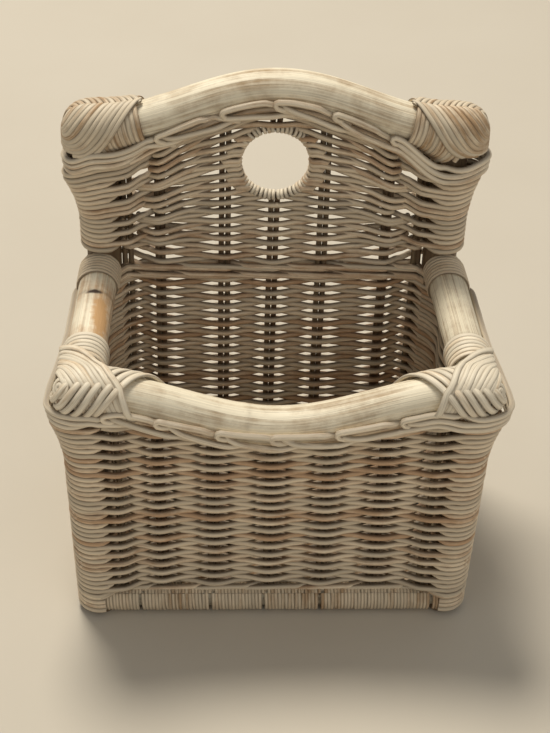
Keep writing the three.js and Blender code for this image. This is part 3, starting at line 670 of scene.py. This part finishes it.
def round_post(corner, run, out, first, last):
    """A weaver's steps round a post, where it neither weaves nor sways."""
    return [(*beside_post(corner, run, out, step), 0.0, 0.0) for step in range(first, last + 1)]


def kept_runs(steps, row, placed):
    """Cuts a weaver's steps into the runs for which there is room, each step at its final place."""
    runs = [[]]
    for point, direction, phase, sway in steps:
        spot = placed(point)
        if spot:
            runs[-1].append([spot, tuple(direction), phase + row, sway])
        elif runs[-1]:
            runs.append([])
    return [run for run in runs if len(run) > 3]


def woven(run, tone):
    """A weaver's strand from one run of its steps."""
    points, outs, phase, sway = (list(column) for column in zip(*run))
    return strand(points, outs, tone, phase=phase, sway=sway)


def room_below(name, x, y, z):
    """Whether a wall's row still lies under the border there."""
    if name == "back":
        return True
    if name == "front":
        near_corner = eased((abs(x) - 85) / 25)
        return z < (1 - near_corner) * (rail_z(x, False) - 11.5) + near_corner * arm_border_z
    return z < arm_border_z + 7 * eased((y + post_y) / 60)


def wall_row(name, k):
    """A weaver along one wall: round the outside of the front posts and the inside of the back ones."""
    start, run, out, length, stakes = walls[name]
    inside_first, inside_last = inside_ends[name]
    end = start + run * length
    low = inside_turn if inside_first else post_margin
    high = length - (inside_turn if inside_last else post_margin)
    if inside_first:
        steps = [(start + run * (inside_turn - 1) - out * (inside_turn + 1), out, 0.0, 0.0)]
    else:
        steps = round_post(start, run, out, -7, 0)
    count = int((high - low) / row_step)
    for i in range(count + 1):
        place = low + (high - low) * i / count
        base, sway = cut_corner(name, place) or weave_offset(place, stakes, length, post_pass)
        phase = clamped(stake_phase(place, stakes), 0, len(stakes) - 1)
        steps.append((start + run * place + out * base, out, pairs_passed[name] + phase, sway))
    if inside_last:
        steps.append((start + run * (length - inside_turn + 1) - out * (inside_turn + 1), out, 0.0, 0.0))
    else:
        steps += round_post(end, run, out, 0, 7)
    dip_share = 0.35 * clamped((k - 10) / 29) if name == "front" else 0.0
    corner_lift = 1.5 + 7.0 * k / row_count
    swell_top, swell_height, swell_reach = lower_swell

    def placed(point):
        x, y, _ = point
        near_front_post = (1 - eased((post_x - abs(x)) / 34)) * eased((-y - 15) / 50)
        level = first_row_z + row_pitch * k + dip_share * (front_rail_dip * bend_share(x))
        z = level + corner_lift * near_front_post
        if not room_below(name, x, y, z):
            return None
        frontness = clamped((post_y - y) / (2 * post_y))
        return swollen(x, z, swell_top, swell_height, swell_reach * frontness), y, z

    parts = [steps]
    if inside_first:
        parts.append(round_post(start, run, out, -7, 11))
    if inside_last:
        parts.append(round_post(end, run, out, -11, 7))
    return [woven(kept, row_tones[k]) for part in parts for kept in kept_runs(part, k, placed)]


row_tones = [chance.random() for _ in range(row_count + spare_tones)]
wall_rows = {name: [row for k in range(row_count) for row in wall_row(name, k)] for name in walls}

# The rows at the foot
# A three-strand twist locks the stakes just above the foot rails, and three short rows
# go round the outside of each post down to the floor.

twist_rise = 1.9
twist_step = 2.5
foot_twist_z = 18.8
foot_row_z, foot_row_count = 6.3, 3


def twined_rows(name, level, facing=1):
    """Three weavers that rise as they pass on the near side.

    Each lies on the near side of two pairs and then on the far side of one.
    """
    start, run, out, length, stakes = walls[name]
    inside_first, inside_last = inside_ends[name]
    count = int(length / twist_step)
    first = 4 if inside_first else -6
    last = count - 4 if inside_last else count + 6
    rows = []
    for third in range(3):
        points, outs = [], []
        for i in range(first, last + 1):
            place = length * i / count
            turn = ((stake_phase(clamped(place, 0, length), stakes) + third) / 3 - 0.25) % 1.0
            ahead = eased(turn / 0.16 + 0.5) * eased((0.667 - turn) / 0.16 + 0.5)
            ahead = max(ahead, eased((turn - 1) / 0.16 + 0.5))
            rise = clamped((turn + 0.08) % 1.0 / 0.83)
            height = level + twist_rise * (2 * rise - 1) * ahead
            swing = stake_outset + facing * weave_depth * (2 * ahead - 1)
            direction = out
            cut = cut_corner(name, place)
            if cut:
                base, share = cut
                point = start + run * place + out * (base + (swing - stake_outset) * share)
            elif 0 <= place <= length:
                blend = eased(min(place, length - place) / stakes[0])
                point = start + run * place + out * (post_pass + (swing - post_pass) * blend)
            else:
                corner = start + run * clamped(place, 0, length)
                point, direction = beside_post(corner, run, out, i if place < 0 else i - count)
            points.append((point.x, point.y, height))
            outs.append(tuple(direction))
        rows.append(strand(points, outs, chance.random()))
    return rows


for name, (start, run, out, length, _) in walls.items():
    wall_rows[name] += twined_rows(name, foot_twist_z)
    for k in range(foot_row_count):
        for corner, first, last in ((start, -7, 2), (start + run * length, -2, 7)):
            points, outs = [], []
            for step in range(first, last + 1):
                point, direction = beside_post(corner, run, out, step)
                points.append((point.x, point.y, foot_row_z + row_pitch * k))
                outs.append(tuple(direction))
            wall_rows[name].append(strand(points, outs, row_tones[row_count + k]))

# The upper back
# Two more twists cross the back above the arms. From there the rows turn round the inside
# of the tall posts, end round the hand hole, and rise with the arch of the rail.

back_twists = (180.6, 187.4)
upper_row_z = 192.0
upper_rows = 32
upper_step = 3.0
upper_tones = row_count + 8
first_inside_row = 4
full_rows = [m for m in range(4, upper_rows) if m % 2 == 1 or m in (4, 10, 20)]
low_full_rows = (0, 2, 3)
skipping_rows = (7, 13, 25)
post_row_z, post_row_pitch = 209.2, 4.0
upper_swell = (271.0, 45.0, 10.5)
left_border_z, right_border_z = 279, 268
hoop_room = 2.6
curl_z_reach = 21


def curled(run):
    """Turns a weaver's end round the hoop and back behind the wall, where it ends at the hand hole."""
    x, _, z = run[-1][0]
    if math.hypot(x, z - hole_z) >= hoop_radius + 7 or abs(z - hole_z) >= curl_z_reach:
        return
    for step in run[-2:]:
        step[0] = (step[0][0], hoop_y - 3.4, step[0][2])
        step[3] = 0.0
    side = math.copysign(1, x)
    edge = math.sqrt((hoop_radius + 0.9) ** 2 - (z - hole_z) ** 2)
    for angle in (-70, -35, 0, 35, 70, 90):
        a = math.radians(angle)
        spot = (side * (edge - 2.5 * math.cos(a)), hoop_y + 2.7 * math.sin(a), z + 0.6 * math.sin(a))
        run.append([spot, (-side * math.cos(a), math.sin(a), 0.0), 0.0, 0.0])
    run.append([(side * (edge + 6), hoop_y + 2.6, z + 1.2), (0.0, 1.0, 0.0), 0.0, 0.0])


def upper_row(m):
    """A weaver of the upper back: round the posts, and cut by the border and the hole.

    The rows draw together towards the posts, so every other one stops at the pair before them.
    """
    _, _, _, length, stakes = walls["back"]
    level = upper_row_z + row_pitch * m
    if m in full_rows:
        level_at_post = post_row_z + post_row_pitch * full_rows.index(m)
    else:
        level_at_post = level - 0.39 * max(0.0, level - 205)
    inside = m >= first_inside_row
    facing = -1 if inside else 1
    last_step = 34 if inside else 6
    reach = 200 if m in full_rows or m in low_full_rows else chance.uniform(84, 99)
    last_pair = 1 if m in skipping_rows else 0
    swell_top, swell_height, swell_reach = upper_swell
    outward = Vector((0, facing, 0))

    steps = round_post(Vector((post_x, post_y, 0)), to_right, outward, 0, last_step)[::-1]
    count = int(length / upper_step)
    for i in range(1, count):
        place = length * i / count
        base, sway = weave_offset(place, stakes, length, facing * post_pass)
        phase = clamped(stake_phase(place, stakes), last_pair, len(stakes) - 1 - last_pair)
        tucked = 5.0 * eased((abs(post_x - place) - reach + 9) / 9)
        steps.append((Vector((post_x - place, post_y + base + tucked, 0)), outward, phase, sway * facing))
    steps += round_post(Vector((-post_x, post_y, 0)), to_left, outward, 0, last_step)

    def placed(point):
        x, y, _ = point
        z = level_at_post + (level - level_at_post) * bend_share(x)
        near_corner = eased((abs(x) - 80) / 36)
        corner_z = left_border_z if x < 0 else right_border_z
        border_z = (1 - near_corner) * (rail_z(x, True) - 14.5) + near_corner * corner_z
        clear_of_hole = math.hypot(x, z - hole_z) > hoop_radius + hoop_room
        if abs(x) >= reach or z >= border_z or not clear_of_hole:
            return None
        past_pair = eased((abs(x) - 114) / 20) * clamped((z - 225) / 45)
        raised = (-8 if x < 0 else 4) * past_pair
        return swollen(x, z, swell_top, swell_height, swell_reach), y, z + raised

    runs = kept_runs(steps, m, placed)
    for kept in runs:
        for _ in range(2):
            curled(kept)
            kept.reverse()
    return [woven(kept, row_tones[upper_tones + m] * 0.8) for kept in runs]


for twist_z in back_twists:
    wall_rows["back"] += twined_rows("back", twist_z, -1)
for m in range(upper_rows):
    wall_rows["back"] += upper_row(m)
for name, rows in wall_rows.items():
    grow(f"{name}_weaving", rows, reed_paint, [f"{name}_woven_wall"], weaver_diameter,
         sides=8, depth=weave_depth, uneven=0.22, seed=11.0)

# Hand hole
# A hoop of reed keeps the hole open. Thin cane is wound round it and round the reeds next
# to it, and shows as a ribbed edge above and below the hole.

hoop_reed = 3.2
hole_cane = 2.8
winding_count = 54
binding_paint = washed_material(
    "whitewashed cane", 0.25, wash=(238, 227, 206), bare=(200, 174, 140), grime=(92, 73, 54),
    cover=0.6, streaks_along=40.0, streaks_across=1.2, hollows=0.6, spread=0.2)

hoop_line = []
for i in range(49):
    angle = 2 * math.pi * i / 48
    hoop_line.append((hoop_radius * math.cos(angle), hoop_y, hole_z + hoop_radius * math.sin(angle)))
grow("hand_hole_reed", [strand(hoop_line, (0.0, 1.0, 0.0), 0.4)], stake_paint,
     ["hand_hole_hoop"], hoop_reed, sides=8)
windings = []
for i in range(winding_count):
    turn = 2 * math.pi * (i + chance.uniform(-0.12, 0.12)) / winding_count
    if abs(math.sin(turn)) <= 0.5:
        continue
    radial = Vector((math.cos(turn), 0, math.sin(turn)))
    tangent = Vector((-math.sin(turn), 0, math.cos(turn)))
    width, thick = 2.9 + chance.uniform(-0.2, 0.3), 3.3
    points, outs = [], []
    for j in range(13):
        angle = 2 * math.pi * j / 12
        point = Vector((0, hoop_y, hole_z)) + radial * (hoop_radius + 0.4)
        point += radial * (width * math.cos(angle))
        point += to_back * (thick * math.sin(angle))
        point += tangent * (0.7 * math.sin(angle) + 1.9 * j / 12)
        points.append(tuple(point))
        outs.append(tuple(radial * math.cos(angle) + to_back * math.sin(angle)))
    windings.append(strand(points, outs, chance.random()))
grow("hand_hole_cane", windings, binding_paint, ["hand_hole_binding"], hole_cane,
     sides=6, flatness=0.6, uneven=0.15)

# Rolled borders
# Each stake's own reeds are bent over under the rail and laid along it over the next ones, so
# three or four strands cross like a flat rope. They run on round the corners and under the arms.

border_reed = 4.2
border_hug = 16.1
core_depth = 4.6
corner_radius = 19.5
front_corner_z, left_corner_z, right_corner_z = 182.0, 286.5, 277.0
lane_pitch = 4.4
bend_pitch = 34.5
drawn_step = 2.6
arm_end = post_x + corner_radius * math.pi / 2 + 136
corner_end = post_x + corner_radius * math.pi * 0.97
bend_steps = (
    (9.5, 6.5, -10.5), (6.0, 3.6, -8.0), (2.6, 1.6, -6.2),
    (-0.4, 0.5, -4.4), (-1.6, 0.0, -2.2), (-1.0, 0.0, -0.6),
)
border_bends = {
    "front": [-103.6, -71.4, -35.2, -2.8, 36.2, 74.2],
    "back": [-77.6, -34.8, -0.2, 38.2, 77.3],
}
border_paint = washed_material(
    "whitewashed border reed", 0.22, wash=(240, 226, 202), bare=(188, 156, 122), grime=(84, 63, 46),
    cover=0.6, streaks_along=26.0, streaks_across=1.1, hollows=0.7, spread=0.25)


def rail_place(along, drop, back):
    """A place on a border, and which way it faces there.

    It is given by its way along the rail and round the corner, and by its drop under the top strand.
    """
    y, _, _ = top_rail(back)
    side, x = math.copysign(1, along), min(abs(along), post_x)
    corner = eased((x - 80) / 36) if back else eased((x - 88) / 24)
    tilt = 0.15 + 0.6 * (x / 105) ** 1.8 if back else 0.36 * eased(x / 92) - 0.17
    around = abs(along) - post_x
    turned = eased(around / 18)
    back_corner_z = left_corner_z - 8.0 * turned if side < 0 else right_corner_z + 4.0 * turned
    corner_z = back_corner_z if back else front_corner_z
    z = (rail_z(x, back) - border_hug * math.sin(tilt)) * (1 - corner) + corner_z * corner - drop
    level_y = -border_hug * math.cos(tilt) * (1 - corner) - (post_pass + 3.2) * corner
    level_y += 0.25 * drop * (1 - 0.7 * corner)
    if around <= 0:
        return Vector((side * x, y + level_y, z)), to_front
    angle = min(around / corner_radius, math.pi if back else math.pi / 2)
    reach = (24.5 if back else 23.6) - 0.15 * drop
    place = Vector((side * (post_x + reach * math.sin(angle)), y + level_y * math.cos(angle), z))
    along_arm = around - corner_radius * math.pi / 2
    if along_arm > 0 and not back:
        lift = eased(along_arm / 70)
        tucked = eased((along_arm - 112) / 22)
        inwards = (6.4 - 0.2 * drop) * lift + 7 * tucked
        place += Vector((-side * inwards, along_arm, 5.0 * lift - 4.0 * tucked))
    return place, Vector((side * math.sin(angle), -math.cos(angle), 0))


def crossing_height(share, ends):
    """How far a border reed stands out: it dips behind the next bend and lies over what follows."""
    height = -3.2 * math.exp(-((share - 1.04) / 0.12) ** 2) + 1.8 * eased((share - 1.15) / 0.25)
    return height - (6.0 * eased((share - 2.05) / 0.5) if ends else 0.0)


def sinking(share):
    """How far a border reed has sunk under the top strand by its way past its own bend."""
    return 14.0 * (1 - math.exp(-1.15 * max(0.0, share - 0.76)))


def bent_over(x0, back, lane, stop):
    """One reed of a border: up from behind, bent over to the right, and down across the next ones."""
    first, facing = rail_place(x0, 0.0, back)
    points = [first + Vector(step) for step in bend_steps]
    outs = [tuple(facing)] * len(points)
    along = x0 + 0.8
    while along < (stop if lane < 3 else x0 + bend_pitch * 2.6):
        share = (along - x0) / bend_pitch
        drop = min(sinking(share), lane_pitch * lane) if lane < 3 else sinking(share)
        place, facing = rail_place(along, drop, back)
        points.append(place + facing * crossing_height(share, lane > 2))
        outs.append(tuple(facing))
        along += drawn_step
    return strand([tuple(p) for p in points], outs, chance.random() * 0.7)


def from_corner(lane, back, start_along, first_bend):
    """A reed that comes round the left corner and dips under the bends of the next ones."""
    points, outs = [], []
    along, start = start_along, first_bend - bend_pitch
    end = start + bend_pitch * (2.6 - 0.9 * lane)
    while along < end:
        share = (along - start) / bend_pitch
        place, facing = rail_place(along, lane_pitch * lane + sinking(share), back)
        height = crossing_height(share, True) if lane == 0 else -5.0 * eased((along - end + 18) / 16)
        points.append(place + facing * height)
        outs.append(tuple(facing))
        along += drawn_step
    return strand([tuple(p) for p in points], outs, chance.random() * 0.7)


def border_core(drop, back):
    """A plain reed behind the bent ones, which closes the border where they part."""
    points, outs = [], []
    for i in range(-40, 41):
        place, facing = rail_place(drawn_step * i, drop, back)
        points.append(tuple(place - facing * core_depth))
        outs.append(tuple(facing))
    return strand(points, outs, 0.9)


def split_at(line, from_arm):
    """Parts a reed where a rail's border ends and an arm's border begins."""
    ahead = [i for i, point in enumerate(line["points"]) if (point[1] > -60) == from_arm]
    if len(ahead) < 4:
        return None
    first, last = (max(0, ahead[0] - 1), ahead[-1] + 2) if from_arm else (ahead[0], ahead[-1] + 1)
    return {key: value[first:last] for key, value in line.items()}


arm_borders = {"left": [], "right": []}
for back, end_name in ((False, "front"), (True, "back")):
    bends = border_bends[end_name]
    stop = corner_end if back else arm_end
    lines = [from_corner(lane, back, -stop, bends[0]) for lane in range(3)]
    lines += [border_core(drop, back) for drop in (3.5, 8.5, 13.5)]
    lines += [bent_over(x0, back, len(bends) - 1 - i, stop) for i, x0 in enumerate(bends)]
    if not back:
        for part in filter(None, (split_at(line, True) for line in lines)):
            arm_borders["left" if part["points"][0][0] < 0 else "right"].append(part)
        lines = list(filter(None, (split_at(line, False) for line in lines)))
    grow(f"{end_name}_border_reeds", lines, border_paint, [f"{end_name}_border"],
         border_reed, sides=8, uneven=0.25, seed=17.0)
for side_name, lines in arm_borders.items():
    grow(f"{side_name}_arm_border_reeds", lines, border_paint, [f"{side_name}_arm_border"],
         border_reed, sides=8, uneven=0.25, seed=17.0)

# Corner bindings
# Round cane is plaited over each end of the rails: two sets of turns cross on a ridge and make
# a herringbone. In front they bind the arm in too, and its last turns go round the arm alone.

binding_diameter = 4.7
pole_hug = pole_diameter / 2 + 0.3
front_cap_x, back_cap_x = 121.5, 125.5
plain_turns, plain_pitch, plain_start = 18, 3.1, 90.0
arm_turns, arm_turn_pitch, arm_turn_start = 6, 3.9, -33.0
back_ridge_angle = 84
back_travel, lower_travel, upper_travel = 31.0, 20.0, 11.0
aged_binding_paint = washed_material(
    "aged whitewashed cane", 0.3, wash=(228, 213, 188), bare=(170, 140, 106), grime=(66, 50, 37),
    cover=0.56, streaks_along=36.0, streaks_across=1.2, hollows=0.95, spread=0.3)


def binding_core(side, back):
    """The poles and fillings under a binding, each as two ends and a radius."""
    y, height, _ = top_rail(back)
    stops = (70, 80, 90, 100, 110, post_x, back_cap_x if back else front_cap_x)
    rail = [Vector((side * x, y, rail_z(x, back))) for x in stops]
    core = [(a, b, pole_hug) for a, b in zip(rail, rail[1:])]
    post_top = Vector((side * post_x, y, height))
    core.append((post_top - upwards * 40, post_top, post_diameter / 2))
    if back:
        chin = 0 if side < 0 else 4
        low_cap = Vector((side * (back_cap_x + 3), y, height - 16 - chin))
        core.append((rail[-1] + Vector((side, 0, 0)), low_cap, pole_hug - 0.5))
        inner_chin = Vector((side * 108, y, height - 2 - chin))
        core.append((inner_chin, Vector((side * back_cap_x, y, height - 14 - chin)), pole_hug))
    else:
        core.append((Vector((side * arm_x, y, height)), Vector((side * arm_x, -10, height)), pole_hug))
    return core


def hugged(point, lift, core, softness=1.6):
    """Moves a point to a given height over the bound poles, and says which way is out there."""
    out = upwards
    for _ in range(5):
        total, blend = 0.0, Vector((0, 0, 0))
        for a, b, radius in core:
            axis = b - a
            share = clamped((point - a).dot(axis) / axis.length_squared)
            away = point - (a + axis * share)
            length = max(away.length, 0.01)
            weight = math.exp(-clamped(length - radius, -20, 60) / softness)
            total += weight
            blend += away / length * weight
        out = blend.normalized()
        point = point + out * (lift + softness * math.log(total))
    return point, out


def on_rail_end(x, angle, side, back):
    """A place on a rail's end by its distance out along the rail and its angle from the front up."""
    y, height, _ = top_rail(back)
    radius, cap_x = pole_hug + 2, back_cap_x if back else front_cap_x
    around = Vector((0, -math.cos(angle), math.sin(angle)))
    if x <= cap_x:
        return Vector((side * x, y, rail_z(x, back))) + around * radius
    turn = min((x - cap_x) / radius, 1.45)
    centre = Vector((side * cap_x, y, height))
    return centre + Vector((side, 0, 0)) * (radius * math.sin(turn)) + around * (radius * math.cos(turn))


def bound_strand(route, core, tone, width=1.0):
    """A turn of cane along its route of places and heights, pulled onto the poles."""
    hugs = [hugged(place, lift, core) for place, lift in route]
    points, outs = [tuple(point) for point, _ in hugs], [tuple(out) for _, out in hugs]
    return strand(points, outs, tone, [width] * len(hugs))


def angles_between(start, stop, count):
    """Even steps from one angle in degrees to another, in radians."""
    return [math.radians(start + (stop - start) * i / (count - 1)) for i in range(count)]


def back_binding(side, apexes):
    """Plain turns round the back rail's end, and plaited ones that part from a ridge over them."""
    core = binding_core(side, True)
    ridge = math.radians(back_ridge_angle)
    half_turn = math.radians(150)
    turns = []
    for j in range(plain_turns):
        x0 = plain_start + plain_pitch * j
        route = []
        for angle in angles_between(-80, 260, 40):
            lean = -9.0 * abs(ridge - angle) / half_turn
            route.append((on_rail_end(x0 + 5 + lean, angle, side, True), 0.7))
        turns.append(bound_strand(route, core, chance.random(), 0.82))
    for n, x0 in enumerate(apexes):
        for direction in (-1, 1):
            route = []
            for i in range(26):
                share = i / 25 * 1.12 - 0.05
                angle = ridge + direction * half_turn * share
                under = 1 - eased((share + 0.05) / (0.13 if direction == 1 or n % 2 else 0.1))
                place = on_rail_end(x0 + back_travel * share, angle, side, True)
                route.append((place, 2.4 - 1.5 * under))
            turns.append(bound_strand(route, core, chance.random(), 0.86))
    return turns


def front_binding(side, apexes, cross_x, ridge_angle):
    """Turns round the arm, then the plait's lower and upper turns, and a small coil on the tip."""
    core = binding_core(side, False)
    ridge = math.radians(ridge_angle)
    turns = []
    for j in range(arm_turns):
        y = arm_turn_start - arm_turn_pitch * j
        route = []
        for angle in angles_between(-60, 240, 30):
            around = Vector((side * math.cos(angle), 0, math.sin(angle)))
            route.append((Vector((side * arm_x, y + 1.5 * math.sin(angle), arm_height)) + around * 16, 1.2))
        turns.append(bound_strand(route, core, chance.random(), 0.88))

    lowers = apexes + [cross_x]
    for x0 in lowers:
        route = []
        for angle in angles_between(-50, 175, 34):
            x = x0 + lower_travel * (ridge - angle) / math.radians(93)
            past = eased((angle - ridge) / math.radians(14) + 0.35)
            below = eased((math.radians(-5) - angle) / math.radians(35))
            route.append((on_rail_end(x, angle, side, False), 3.3 - 2.0 * past - 1.6 * below))
        turns.append(bound_strand(route, core, chance.random()))

    between = [(a + b) / 2 for a, b in zip(lowers, lowers[1:])]
    for x0 in lowers + between:
        last = x0 == cross_x
        route = []
        for angle in angles_between(-30 if last else -50, ridge_angle, 14):
            x = x0 - upper_travel * (ridge - angle) / math.radians(107)
            low = eased((math.radians(2) - angle) / math.radians(38))
            over_ridge = eased((angle - ridge) / math.radians(14) + 1.0)
            lift = 3.4 - 3.2 * low if last else 0.9 + 1.4 * over_ridge
            route.append((on_rail_end(x, angle, side, False), lift))
        apex = on_rail_end(x0, ridge, side, False)
        order = (max(lowers) - x0) / (max(lowers) - cross_x)
        end = Vector((side * (arm_x + 15.0), -60.0 + 27.0 * order, arm_height + 3))
        top = (apex + end) / 2 + Vector((side * 2.0, 0, 9.0))
        for i in range(1, 17):
            share = i / 16
            place = apex * (1 - share) ** 2 + top * (2 * share * (1 - share)) + end * share ** 2
            route.append((place, 3.4 if last else 2.7 if x0 in lowers else 2.3))
        for i in range(1, 6):
            route.append((end + Vector((-side * 1.6 * i, -0.6 * i, -4.0 * i)), 2.7 - 0.3 * i))
        turns.append(bound_strand(route, core, chance.random(), 1.0 if last else 0.8))

    tip, out = hugged(Vector((side * 130.0, -82.0, 199.0 if side < 0 else 196.0)), 0.0, core)
    tangent = out.cross(upwards).normalized()
    rise = out.cross(tangent).normalized()
    for radius in (1.7, 5.0):
        route = []
        for angle in angles_between(0, 360, 22):
            place = tip + tangent * (radius * math.cos(angle)) + rise * (radius * math.sin(angle)) * -1
            route.append((place, 3.0 - 0.1 * radius))
        turns.append(bound_strand(route, core, chance.random(), 0.75))
    return turns


front_plaits = {
    "left": ([126.6, 119.3, 113.4, 106.8, 99.5], 94.0, 52),
    "right": ([128.1, 122.3, 116.1, 109.9, 104.3], 98.0, 40),
}
back_apexes = [92.0 + 4.0 * i for i in range(12)]
for side, side_name in hands:
    turns = front_binding(side, *front_plaits[side_name])
    grow(f"front_{side_name}_plait", turns, binding_paint,
         [f"front_{side_name}_corner_binding"], binding_diameter,
         sides=10, flatness=0.52, uneven=0.2, seed=23.0)
    turns = back_binding(side, back_apexes)
    grow(f"back_{side_name}_plait", turns, aged_binding_paint,
         [f"back_{side_name}_corner_binding"], binding_diameter,
         sides=10, flatness=0.52, uneven=0.2, seed=29.0)

# Arm coils
# Where each arm meets its tall post, a length of round cane is wound tight round it. The seven
# turns lie side by side, and are whitewashed like the rows.

coil_cane = 3.3
coil_radius = 14.0
coil_turns, coil_steps = 7, 24
coil_start_back, coil_end_back = 11.0, 3.0

for side, side_name in hands:
    low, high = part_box(f"{side_name}_arm_back_binding")
    first, last = low[1] * 1000 + coil_start_back, high[1] * 1000 + coil_end_back
    points, outs = [], []
    count = coil_turns * coil_steps
    for i in range(count + 1):
        angle = 2 * math.pi * i / coil_steps
        around = Vector((math.cos(angle), 0, math.sin(angle)))
        middle = Vector((side * arm_x, first + (last - first) * i / count, arm_height))
        points.append(tuple(middle + around * coil_radius))
        outs.append(tuple(around))
    grow(f"{side_name}_arm_coil", [strand(points, outs, 0.4)], reed_paint,
         [f"{side_name}_arm_back_binding"], coil_cane, sides=8, flatness=0.6, uneven=0.15, seed=31.0)

# Nails
# One flat-headed steel nail goes down through each rail end into its post, under the binding.
# Its steel is dull and has begun to rust under the paint.

dull_steel, rust_brown = (150, 150, 150), (120, 84, 58)

nail_metal = bpy.data.materials.new("dull nail steel")
nail_metal.use_nodes = True
nail_tree = nail_metal.node_tree
rust = noise(nail_tree, add_node(nail_tree, "ShaderNodeTexCoord").outputs["Object"], 900.0, 4.0)
rusted = blended(nail_tree, rust, paint(dull_steel), paint(rust_brown))
nail_bump = add_node(nail_tree, "ShaderNodeBump", {"Height": rust, "Strength": 0.4, "Distance": 0.0002})
nail_shader = nail_tree.nodes["Principled BSDF"]
nail_shader.inputs["Metallic"].default_value = 0.9
nail_tree.links.new(rusted, nail_shader.inputs["Base Color"])
nail_tree.links.new(arithmetic(nail_tree, "MULTIPLY_ADD", rust, 0.4, 0.3), nail_shader.inputs["Roughness"])
nail_tree.links.new(nail_bump.outputs["Normal"], nail_shader.inputs["Normal"])
for name in ("front_left_nail", "front_right_nail", "back_left_nail", "back_right_nail"):
    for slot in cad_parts[name].material_slots:
        slot.material = nail_metal

# Floor and light
# A plain pale floor, a large soft lamp above and a little behind, and weak light from all round,
# seen from in front and above.

pale_sand, deeper_sand = (206, 199, 186), (199, 191, 177)
room_light = (250, 247, 240)

floor_mesh = bpy.data.meshes.new("pale_floor")
floor_mesh.from_pydata([(-6, -4, 0), (6, -4, 0), (6, 8, 0), (-6, 8, 0)], [], [(0, 1, 2, 3)])
pale_floor = bpy.data.objects.new("pale_floor", floor_mesh)
bpy.context.scene.collection.objects.link(pale_floor)
floor_paint = bpy.data.materials.new("pale floor paint")
floor_paint.use_nodes = True
floor_tree = floor_paint.node_tree
mottle = noise(floor_tree, add_node(floor_tree, "ShaderNodeTexCoord").outputs["Object"], 6.0, 4.0)
floor_colour = blended(floor_tree, mottle, paint(pale_sand), paint(deeper_sand))
floor_shader = floor_tree.nodes["Principled BSDF"]
floor_shader.inputs["Roughness"].default_value = 0.75
floor_tree.links.new(floor_colour, floor_shader.inputs["Base Color"])
floor_mesh.materials.append(floor_paint)

scene = bpy.context.scene
world = bpy.data.worlds.new("soft room")
scene.world = world
world.use_nodes = True
background = world.node_tree.nodes["Background"]
background.inputs["Color"].default_value = paint(room_light)
background.inputs["Strength"].default_value = 0.33


def soft_lamp(name, place, target, size, power, colour):
    """A round lamp that faces its target."""
    lamp = bpy.data.lights.new(name, "AREA")
    lamp.shape = "DISK"
    lamp.size = size
    lamp.energy = power
    lamp.color = paint(colour)[:3]
    holder = bpy.data.objects.new(name, lamp)
    holder.location = place
    holder.rotation_euler = (Vector(target) - Vector(place)).to_track_quat("-Z", "Y").to_euler()
    scene.collection.objects.link(holder)


lit_place = (0.0, 0.0, 0.15)
soft_lamp("overhead lamp", (-0.55, 1.25, 3.2), lit_place, 1.1, 102.0, (255, 247, 232))
soft_lamp("front fill", (0.8, -1.6, 1.2), lit_place, 1.6, 4.0, (255, 250, 240))

camera_place = Vector((-0.0454, -0.9066, 0.8552))
look_at = Vector((0.00054, 0.0, 0.1534))
roll = math.radians(1.89)
focal_pixels, picture_height = 1665.8, 733
forward = (look_at - camera_place).normalized()
level_right = forward.cross(upwards).normalized()
level_up = level_right.cross(forward)
right = level_right * math.cos(roll) + level_up * math.sin(roll)
up = level_up * math.cos(roll) - level_right * math.sin(roll)
lens = bpy.data.cameras.new("viewer")
lens.sensor_fit = "VERTICAL"
lens.sensor_height = 36.0
lens.lens = focal_pixels * lens.sensor_height / picture_height
viewer = bpy.data.objects.new("viewer", lens)
scene.collection.objects.link(viewer)
viewer.matrix_world = Matrix((
    (right.x, up.x, -forward.x, camera_place.x),
    (right.y, up.y, -forward.y, camera_place.y),
    (right.z, up.z, -forward.z, camera_place.z),
    (0, 0, 0, 1),
))
scene.camera = viewer
scene.view_settings.view_transform = "Standard"
